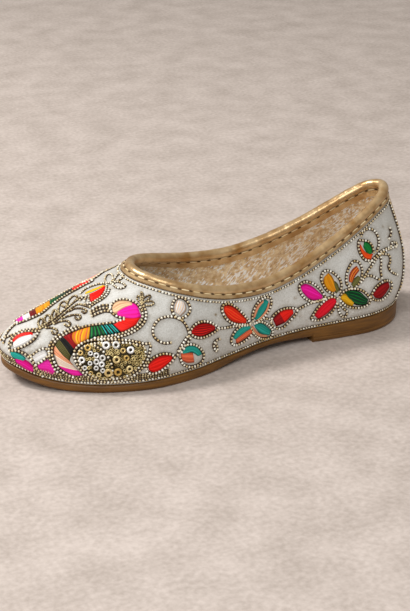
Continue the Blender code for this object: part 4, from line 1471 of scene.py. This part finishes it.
def chain_tree(name, bead_material, cord_material):
    tree, given = new_tree(name, CHAIN_INPUTS)
    line = add(tree, "GeometryNodeMeshToCurve", {0: given["Geometry"]}).outputs[0]
    lay = add(tree, "GeometryNodeInputNamedAttribute", {"Name": "lay"}, data_type="FLOAT_VECTOR").outputs[0]
    spaced = add(tree, "GeometryNodeResampleCurve", {"Curve": line, "Length": given["Pitch"]}, mode="LENGTH")
    tangent = add(tree, "GeometryNodeInputTangent").outputs[0]
    turn = add(tree, "FunctionNodeAxesToRotation", {0: lay, 1: tangent}, primary_axis="Z", secondary_axis="X")
    slant = add(tree, "ShaderNodeCombineXYZ", {2: given["Slant"]}).outputs[0]
    slant = add(tree, "FunctionNodeEulerToRotation", {0: slant}).outputs[0]
    turn = add(tree, "FunctionNodeRotateRotation", {0: turn.outputs[0], 1: slant}, rotation_space="LOCAL")
    ball = add(tree, "GeometryNodeMeshUVSphere", {"Segments": 8, "Rings": 5, "Radius": 0.5}).outputs[0]
    ball = add(tree, "GeometryNodeSetShadeSmooth", {0: ball}).outputs[0]
    size = add(tree, "ShaderNodeCombineXYZ", {
        0: given["Length"], 1: given["Width"], 2: given["Height"],
    }).outputs[0]
    uneven = add(tree, "FunctionNodeRandomValue", {2: SMALLEST, 3: LARGEST, "Seed": given["Seed"]}).outputs[1]
    size = add(tree, "ShaderNodeVectorMath", {0: size, "Scale": uneven}, operation="SCALE").outputs[0]
    lifted = add(tree, "ShaderNodeVectorMath", {0: lay, "Scale": given["Lift"]}, operation="SCALE").outputs[0]
    places = add(tree, "GeometryNodeSetPosition", {0: spaced.outputs[0], "Offset": lifted}).outputs[0]
    made = [strewn(tree, places, ball, turn.outputs[0], size, given["Seed"], bead_material)]
    if cord_material:
        profile = add(tree, "GeometryNodeCurvePrimitiveCircle", {
            "Resolution": 6, "Radius": given["Cord radius"],
        }).outputs[0]
        tube = add(tree, "GeometryNodeCurveToMesh", {0: line, 1: profile, "Fill Caps": True}).outputs[0]
        tube = add(tree, "GeometryNodeSetShadeSmooth", {0: tube}).outputs[0]
        made.append(add(tree, "GeometryNodeSetMaterial", {0: tube, "Material": cord_material}).outputs[0])
    joined = add(tree, "GeometryNodeJoinGeometry")
    for part in made:
        tree.links.new(part, joined.inputs[0])
    add(tree, "NodeGroupOutput", {0: joined.outputs[0]})
    return tree


BEAD_TREE = chain_tree("beads_on_cord", BEAD, CORD)
PURL_TREE = chain_tree("purl_on_cord", PURL, CORD)
STITCH_TREE = chain_tree("running_stitch", STITCH, None)
SHADE_DASH_TREE = chain_tree("painted_shade_dash", PAINTED_SHADE, None)
print("chain trees:", len(bpy.data.node_groups))

# %% [markdown]
# ## Sew the chains
# Every chain has beads of 1 to 1.5 mm at a pitch a little longer, so the cord shows dark between them as
# painted shade. The crown's are the smallest, and those that follow the seams lie aslant, like backstitches.
# The chains are laid in the troughs that their stitching pulled into the cover.

# %% Lay the bead chains
BEAD_BED = 0.15 * MM - PUCKER
SIZE_COLUMNS = ("Pitch", "Length", "Width", "Height", "Lift", "Cord radius")


def trim_sizes(*sizes, seed, slant=0.0):
    """Sizes in millimetres, in the order of the columns, as the inputs of a chain tree."""
    return {**{name: size * MM for name, size in zip(SIZE_COLUMNS, sizes)}, "Slant": slant, "Seed": seed}


BEAD_SIZES = trim_sizes(1.9, 1.3, 1.5, 1.4, 0.65, 0.92, seed=5)
SMALL_SIZES = trim_sizes(1.6, 1.2, 1.35, 1.1, 0.5, 0.75, seed=7)
FINE_SIZES = trim_sizes(1.9, 1.5, 1.15, 1.0, 0.35, 0.5, seed=6, slant=0.55)
PURL_SIZES = trim_sizes(1.45, 1.25, 1.2, 1.1, 0.5, 0.8, seed=9)
ROW_SIZES = trim_sizes(1.8, 1.5, 1.1, 0.9, 0.35, 0.6, seed=10, slant=-0.5)
TOE_ROW_SIZES = trim_sizes(1.5, 1.05, 1.1, 0.9, 0.35, 0.6, seed=10)
CROWN_SIZES = trim_sizes(1.3, 1.1, 0.95, 0.9, 0.4, 0.6, seed=11)
bead_pieces = {
    "beads_outer_side": (near_chains, BEAD_TREE, BEAD_SIZES),
    "beads_inner_side": (far_chains, BEAD_TREE, BEAD_SIZES),
    "beads_vamp_flowers": (flower_chains, BEAD_TREE, SMALL_SIZES),
    "purl_vamp_fern": (fern_chains, PURL_TREE, PURL_SIZES),
    "purl_crown_outer": (near_crown, PURL_TREE, CROWN_SIZES),
    "purl_crown_inner": (far_crown, PURL_TREE, CROWN_SIZES),
    "beads_under_binding": (collar_chain, BEAD_TREE, FINE_SIZES),
    "beads_along_sole": (feather_chains, BEAD_TREE, ROW_SIZES),
    "purl_rows_round_toe": (toe_rows, PURL_TREE, TOE_ROW_SIZES),
    "beads_beside_back_strip": (back_chains, BEAD_TREE, FINE_SIZES),
}
for name, (lines, tree, sizes) in bead_pieces.items():
    piece = run_tree(name, lines.values(), tree, sizes, BEAD_BED)
    finish_piece(piece, "upper")

# %% [markdown]
# ## Stitch the binding
# Two rows of cream thread hold the binding, one in the groove outside and one in the groove inside. Between
# two stitches the thread dips into the leatherette, and a dark dash of painted shade lies there, half a pitch
# further on. Along the lower edge of the outer band runs a thin dark line of painted shadow.

# %% Sew the binding's stitches
STITCH_PITCH = 6.6
STITCH_SIZES = trim_sizes(STITCH_PITCH, 5.0, 0.8, 0.6, 0.0, seed=8)
SHADE_DASH_SIZES = trim_sizes(STITCH_PITCH, 2.4, 1.0, 0.5, 0.1, seed=8)
EDGE_SHADOW_SIZES = trim_sizes(1.2, 1.7, 0.5, 0.4, 0.0, seed=8)
STITCH_STATIONS = 300
STITCH_DOWN = 0.35 * MM
STITCH_SUNK = 0.1 * MM
EDGE_SHADOW_DOWN = 0.15 * MM
# Half a pitch, counted in the points of the stitch line.
HALF_PITCH = 5
collar_wall = Wall(even_ribs(STITCH_STATIONS, edge_points))
stitch_lines = []
for side, face in ((1, band_face - WALL / 2), (-1, -band_face - WALL / 2)):
    spots, square = collar_wall.at(np.array([[groove + STITCH_DOWN]]), face - side * STITCH_SUNK)
    stitch_lines.append(closed_line(spots, side * square))
stitches = run_tree("binding_stitches", stitch_lines, STITCH_TREE, STITCH_SIZES, 0.0)
finish_piece(stitches, "binding")
# Dashes of painted shade between the stitches, half a pitch on.
shade_dash_lines = [(np.roll(spots[:-1], HALF_PITCH, axis=0), np.roll(square[:-1], HALF_PITCH, axis=0))
              for spots, square in stitch_lines]
shade_dashes = run_tree("painted_shade_between_stitches", shade_dash_lines, SHADE_DASH_TREE, SHADE_DASH_SIZES, 0.0)
finish_piece(shade_dashes, "binding")
# A thin dark line of painted shadow under the outer band's lower edge.
edge_line = seam_line(np.full((len(plain_wall.length), 1), band_end + EDGE_SHADOW_DOWN))
edge_shadow = run_tree("painted_shadow_under_binding", [edge_line], SHADE_DASH_TREE, EDGE_SHADOW_SIZES, -STITCH_SUNK)
finish_piece(edge_shadow, "binding")

# %% [markdown]
# ## Satin stitch
# A petal is filled with threads laid side by side from edge to edge, over a little padding, so it is a low
# dome with a fine ridge for each thread. The peacock's neck and wing and the ribbon are long, and their
# threads run across. In the other shapes they run lengthwise. The shapes are drawn a little small, so their
# edges are first spread in pixels to reach under the bead chains, and then sunk into the leatherette there.

# %% Lay out a filled shape
THREAD = 0.45 * MM
FEWEST_THREADS = 4
ROUGH_POINTS = 12
EDGE_SPREAD = 1.5
END_SPREAD = 1.2
THREAD_LEAN = 0.12
SMOOTH_STEPS = 13
CROSSWISE = ("neck", "wing", "ribbon")


def thread_count(edge_a, edge_b, crosswise):
    """How many threads lie side by side in the shape."""
    rough_a, _ = on_upper(through(edge_a, ROUGH_POINTS))
    rough_b, _ = on_upper(through(edge_b, ROUGH_POINTS))
    long_way = np.linalg.norm(np.diff((rough_a + rough_b) / 2, axis=0), axis=1).sum()
    wide_way = np.linalg.norm(rough_b - rough_a, axis=1).max()
    return max(FEWEST_THREADS, round((long_way if crosswise else wide_way + 1 * MM) / THREAD))


def spread_edges(edge_a, edge_b, crosswise):
    """The shape's two edges, in pixels, moved apart to reach under the chains."""
    a, b = np.asarray(edge_a, float), np.asarray(edge_b, float)
    apart = unit(b - a)
    spread = min(EDGE_SPREAD, 0.25 * np.linalg.norm(b - a, axis=1).max())
    a, b = a - apart * spread, b + apart * spread
    if not crosswise:
        middle = (a + b) / 2
        for end, inner in ((0, 1), (-1, -2)):
            outward = unit(middle[end] - middle[inner]) * END_SPREAD
            a[end] += outward
            b[end] += outward
    return a, b


def between_edges(a, b, shares, across, lean):
    """A grid of pixels between two edges. Its rows lean towards the edges' end."""
    leaning = np.clip(shares[:, None] + lean * (across - 0.5) * 4 * (shares * (1 - shares))[:, None], 0, 1)
    rows = len(a) - 1
    fine = np.linspace(0, rows, FINE_STEPS * rows + 1)
    fine_a, fine_b = through(a, len(fine)), through(b, len(fine))
    pixels = np.empty((len(shares), len(across), 2))
    for axis in range(2):
        on_a = np.interp(leaning * rows, fine, fine_a[:, axis])
        on_b = np.interp(leaning * rows, fine, fine_b[:, axis])
        pixels[..., axis] = on_a + (on_b - on_a) * across
    return pixels


print("filled with threads that run across:", *CROSSWISE)

# %% [markdown]
# ## Work the threads
# Each shape is a grid of points: three columns or rows to a thread, so that a ridge can stand between two
# dips. The grid is cast on the upper and raised into its dome. Every thread draws one tint. The points also
# store how close they are to the edge, where the thread goes down beside the beads and gets painted shade.

# %% Embroider the filled shapes
SATIN_HEIGHT = 0.75 * MM
SATIN_SINK = 0.4 * MM
ABOVE_COVER = 0.02 * MM
RIDGE = 0.09 * MM
STEEPEST = 0.3
DOME_POWER = 0.55
EDGE_SHADE_REACH = 1.8 * MM


class Embroidery:
    """Filled shapes gathered into one mesh, each thread with its own tint."""

    def __init__(self, seed):
        self.points, self.faces, self.dyes, self.tints, self.edge_shades = [], [], [], [], []
        self.draw = np.random.default_rng(seed)

    def fill(self, dyes, edge_a, edge_b, crosswise):
        threads = thread_count(edge_a, edge_b, crosswise)
        count = 3 * threads + 1 if crosswise else SMOOTH_STEPS
        width_count = SMOOTH_STEPS if crosswise else 3 * threads + 1
        shares = np.linspace(0, 1, count)
        across = np.linspace(0, 1, width_count)
        a, b = spread_edges(edge_a, edge_b, crosswise)
        pixels = between_edges(a, b, shares, across, THREAD_LEAN if crosswise else 0.0)
        spots, normals = on_upper(pixels.reshape(-1, 2))
        spots, normals = spots.reshape(count, width_count, 3), normals.reshape(count, width_count, 3)
        width = np.linalg.norm(spots[:, -1] - spots[:, 0], axis=1)
        crossing = shares[:, None] if crosswise else across[None, :]
        spots = spots + normals * self.rise(width, across, crossing * threads)[..., None]
        start = len(self.points)
        self.points += spots.reshape(-1, 3).tolist()
        self.edge_shades += self.edge_shade(width, across).ravel().tolist()
        strand = np.repeat(self.draw.uniform(0.05, 1.0, threads + 1), 3)
        if crosswise:
            self.tints += np.repeat(strand[:count], width_count).tolist()
        else:
            self.tints += np.tile(strand[:width_count], count).tolist()
        outwards = self.facing(spots, normals)
        rows = len(edge_a) - 1
        for quad in self.closed_faces(count, width_count):
            station, column = divmod(min(quad), width_count)
            zone = min(int(station / (count - 1) * rows), rows - 1)
            dye = dyes[min(zone, len(dyes) - 1)]
            if isinstance(dye, tuple):
                dye = dye[(station if crosswise else column) // 3 % len(dye)]
            face = quad if outwards else quad[::-1]
            self.faces.append(tuple(start + corner for corner in face))
            self.dyes.append(dye)

    def rise(self, width, across, thread_number):
        """The height of each point: a dome with a ridge to each thread, and edges sunk in the leatherette."""
        dome = np.clip(1 - (2 * across - 1) ** 2, 0, 1) ** DOME_POWER
        height = np.minimum(SATIN_HEIGHT, STEEPEST * width)[:, None] * dome
        ridge = RIDGE * (np.abs(np.sin(np.pi * thread_number)) - 0.5) * (dome > 0)
        edge = np.where(dome > 0, 0.0, 1.0)
        lift = (height + ridge) * (1 - edge) - SATIN_SINK * edge + ABOVE_COVER
        lift[[0, -1]] = -SATIN_SINK
        return lift

    def edge_shade(self, width, across):
        """How much painted shade a point gets: from 0 in the middle of a shape to 1 at its edge."""
        from_side = np.minimum(across, 1 - across) * width[:, None]
        reach = np.minimum(EDGE_SHADE_REACH, STEEPEST * width)[:, None] + 1e-6
        depth = np.clip(1 - from_side / reach, 0, 1)
        depth[[0, -1]] = 1
        return depth

    def closed_faces(self, count, width_count):
        """The grid's faces, a strip of faces under it, and a cap at each end."""
        under = []
        for start in range(0, (count - 1) * width_count, width_count):
            following = start + width_count
            under.append((start, following, following + width_count - 1, following - 1))
        last = count * width_count - 1
        caps = [tuple(range(width_count)), tuple(range(last, last - width_count, -1))]
        return grid_faces(count, width_count, False, False) + under + caps

    def facing(self, spots, normals):
        """Whether the grid's faces already point out of the upper."""
        i, j = len(spots) // 2, spots.shape[1] // 2
        along = spots[i + 1, j] - spots[i - 1, j]
        across = spots[i, j + 1] - spots[i, j - 1]
        return np.dot(np.cross(across, along), normals[i, j]) > 0

    def piece(self, name, flip=False):
        used = sorted(set(self.dyes))
        points = np.array(self.points) * ((1, -1, 1) if flip else (1, 1, 1))
        faces = [face[::-1] for face in self.faces] if flip else self.faces
        made = shaded_piece(name, points, faces, [DYES[dye] for dye in used], sharp=0, recalculate=False)
        made.data.polygons.foreach_set("material_index", [used.index(dye) for dye in self.dyes])
        for attribute, values in (("strand", self.tints), ("edge_shade", self.edge_shades)):
            stored = made.data.attributes.new(attribute, "FLOAT", "POINT")
            stored.data.foreach_set("value", values)
        return made


def embroider(shapes, seed):
    worked = Embroidery(seed)
    for name, (dyes, edge_a, edge_b) in shapes.items():
        worked.fill(dyes, edge_a, edge_b, crosswise=name in CROSSWISE)
    return worked


peacock = embroider(PEACOCK_FILLS, 31)
finish_piece(peacock.piece("satin_peacock_outer"), "upper")
finish_piece(peacock.piece("satin_peacock_inner", flip=True), "upper")
finish_piece(embroider(CENTRE_FILLS, 32).piece("satin_vamp_centre"), "upper")
finish_piece(embroider(FAR_FILLS, 34).piece("satin_ribbon_inner", flip=True), "upper")
side_flowers = embroider({**TOE_FILLS, **QUARTER_FILLS}, 33)
finish_piece(side_flowers.piece("satin_flowers_outer"), "upper")
finish_piece(side_flowers.piece("satin_flowers_inner", flip=True), "upper")

# %% [markdown]
# ## Rings and sequins on the wing
# The wing is worked over dark thread with plain rings of coiled metal, in silver and in brass, and small gold
# sequins packed between them. The rings are placed one by one: a pixel, and a width in millimetres. The
# sequins stand on a staggered grid that is a little uneven and leaves the rings and the feather's chain free.

# %% Place the rings and sequins
SILVER_RINGS = {
    (106.3, 345.6): 4.8, (116.0, 345.2): 4.6, (130.5, 350.0): 4.4, (82.0, 360.0): 4.0, (96.5, 355.5): 3.6,
    (102.6, 358.0): 3.8, (96.6, 361.8): 3.6, (101.8, 364.2): 3.6, (85.0, 367.5): 3.0, (96.3, 367.8): 3.0,
    (90.6, 353.4): 3.0, (90.2, 363.2): 2.8, (102.8, 370.2): 3.0,
}
BRASS_RINGS = {
    (108.5, 372.3): 5.2, (118.0, 371.6): 4.8, (129.5, 368.5): 4.2, (116.5, 359.5): 4.6, (126.5, 358.0): 3.6,
    (88.0, 348.0): 4.2, (80.8, 353.0): 3.2, (99.0, 374.2): 3.0, (123.0, 350.6): 3.4, (91.0, 372.6): 2.8,
}
SEQUIN = 2.1
SEQUIN_SIZES = (0.75, 1.1)
SEQUIN_PITCH = 3.1
ROW_PITCH = 0.87 * SEQUIN_PITCH
SHIFT = 0.35
PIXELS_PER_MM = 1.6


def inside(point, outline):
    """Whether a point lies inside a closed outline."""
    x, y = point
    ax, ay = outline.T
    bx, by = np.roll(outline, -1, axis=0).T
    crossed = (ay > y) != (by > y)
    with np.errstate(divide="ignore", invalid="ignore"):
        return np.count_nonzero(crossed & (x < ax + (y - ay) * (bx - ax) / (by - ay))) % 2 == 1


def sequin_places():
    """Each sequin's pixel and its width in millimetres."""
    outline = np.array(WING_CHAINS["wing_inner"])
    feather = through(WING_CHAINS["wing_feather"], 40)
    draw = np.random.default_rng(41)
    rings = {**SILVER_RINGS, **BRASS_RINGS}
    places = {}
    for row, y in enumerate(np.arange(outline[:, 1].min(), outline[:, 1].max(), ROW_PITCH)):
        stagger = row % 2 * SEQUIN_PITCH / 2
        for x in np.arange(outline[:, 0].min(), outline[:, 0].max(), SEQUIN_PITCH) + stagger:
            place = np.array((x, y)) + draw.normal(0, SHIFT, 2)
            clear = all(np.hypot(*(place - ring)) > (size + SEQUIN * 0.7) / 2 * PIXELS_PER_MM
                        for ring, size in rings.items())
            clear = clear and np.hypot(*(feather - place).T).min() > SEQUIN_PITCH * 0.7
            if clear and inside(place, outline):
                places[tuple(place)] = SEQUIN * draw.uniform(*SEQUIN_SIZES)
    return places


gold_sequins = sequin_places()
print("rings:", len(SILVER_RINGS) + len(BRASS_RINGS), "sequins:", len(gold_sequins))

# %% [markdown]
# ## Sew on the rings and sequins
# Each is a little hoop of wire laid flat on the surface, so one tree sets a hoop at every point, as wide as
# the number stored there. The same places serve the other side as a mirror image.

# %% Sew on the rings and sequins
HOOP_RADIUS = 0.34
RING_SIZES = {"Thickness": 0.16, "Seed": 9}
RING_LIFT = 0.8 * MM


def ring_tree(name, material):
    tree, given = new_tree(name, ("Thickness",))
    lay = add(tree, "GeometryNodeInputNamedAttribute", {"Name": "lay"}, data_type="FLOAT_VECTOR").outputs[0]
    wide = add(tree, "GeometryNodeInputNamedAttribute", {"Name": "wide"}, data_type="FLOAT").outputs[0]
    hoop = add(tree, "GeometryNodeCurvePrimitiveCircle", {"Resolution": 12, "Radius": HOOP_RADIUS}).outputs[0]
    wire = add(tree, "GeometryNodeCurvePrimitiveCircle", {"Resolution": 5, "Radius": given["Thickness"]})
    ring = add(tree, "GeometryNodeCurveToMesh", {0: hoop, 1: wire.outputs[0]}).outputs[0]
    ring = add(tree, "GeometryNodeSetShadeSmooth", {0: ring}).outputs[0]
    turn = add(tree, "FunctionNodeAlignRotationToVector", {"Vector": lay}, axis="Z").outputs[0]
    rings = strewn(tree, given["Geometry"], ring, turn, wide, given["Seed"], material)
    add(tree, "NodeGroupOutput", {0: rings})
    return tree


for metal, material, places in (("silver", SILVER, SILVER_RINGS), ("brass", BRASS, BRASS_RINGS),
                                ("sequin", SEQUIN_GOLD, gold_sequins)):
    tree = ring_tree(metal + "_rings", material)
    widths = np.array(list(places.values())) * MM
    for side, flip in (("outer", 1), ("inner", -1)):
        spots, square = on_upper(np.array(list(places)))
        spots, square = spots * (1, flip, 1), square * (1, flip, 1)
        rings = run_tree(f"wing_{metal}_{side}", [(spots, square)], tree, RING_SIZES, RING_LIFT, wide=widths)
        finish_piece(rings, "upper")

# %% [markdown]
# ## The floor
# The shoe stands on a plain pale floor of matt plaster. It gives the eye only soft clouds and a fine grain,
# so that the shoe's shadow can be seen on it.

# %% Lay the floor
FLOOR_REACH = 6.0
CLOUD_SIZE = 28 * MM
PLASTER_GRAIN = 3 * MM


def matt_plaster():
    made, tree, shader, place = new_material("pale_matt_floor")
    clouds = add(tree, "ShaderNodeTexNoise", {"Vector": place, "Scale": 1 / CLOUD_SIZE, "Detail": 6.0})
    grain = add(tree, "ShaderNodeTexNoise", {"Vector": place, "Scale": 1 / PLASTER_GRAIN, "Detail": 4.0})
    both = add(tree, "ShaderNodeMath", {
        0: clouds.outputs[0], 1: grain.outputs[0],
    }, operation="ADD").outputs[0]
    tree.links.new(toned(tree, both, 0.7, 1.3, "#B3A79E", "#D1C5BD"), shader.inputs["Base Color"])
    shader.inputs["Roughness"].default_value = 0.8
    return made


corners = [(x * FLOOR_REACH, y * FLOOR_REACH, 0.0) for x, y in ((-1, -1), (1, -1), (1, 1), (-1, 1))]
floor_mesh = bpy.data.meshes.new("floor")
floor_mesh.from_pydata(corners, [], [(0, 1, 2, 3)])
floor = bpy.data.objects.new("floor", floor_mesh)
bpy.context.scene.collection.objects.link(floor)
floor_mesh.materials.append(matt_plaster())
print("the floor reaches", FLOOR_REACH, "m each way")

# %% [markdown]
# ## The light
# The light is soft and comes from high on the left. A small window light beyond the toe makes the vamp
# bright and throws the shadow to the right, and a large pale light in front fills the side near us. The
# room itself is an even, pale warm grey.

# %% Light the shoe
LAMP_AIM = Vector((0, 0, 0.03))


def soft_light(name, place, size, power, tint):
    data = bpy.data.lights.new(name, "AREA")
    data.size = size
    data.energy = power
    data.color = colour(tint)[:3]
    lamp = bpy.data.objects.new(name, data)
    bpy.context.scene.collection.objects.link(lamp)
    lamp.location = place
    lamp.rotation_euler = (LAMP_AIM - Vector(place)).to_track_quat("-Z", "Y").to_euler()


soft_light("window", (-0.85, 0.55, 1.15), 0.32, 17.5, "#FFFBF8")
soft_light("front", (-0.75, -0.95, 1.25), 0.8, 13, "#FAFBFC")
room = bpy.data.worlds.new("soft_room")
room.use_nodes = True
background = room.node_tree.nodes["Background"]
background.inputs["Color"].default_value = colour("#F2EEE8")
background.inputs["Strength"].default_value = 0.45
bpy.context.scene.world = room
bpy.context.scene.view_settings.view_transform = "Standard"
print("lamps:", len(bpy.data.lights))
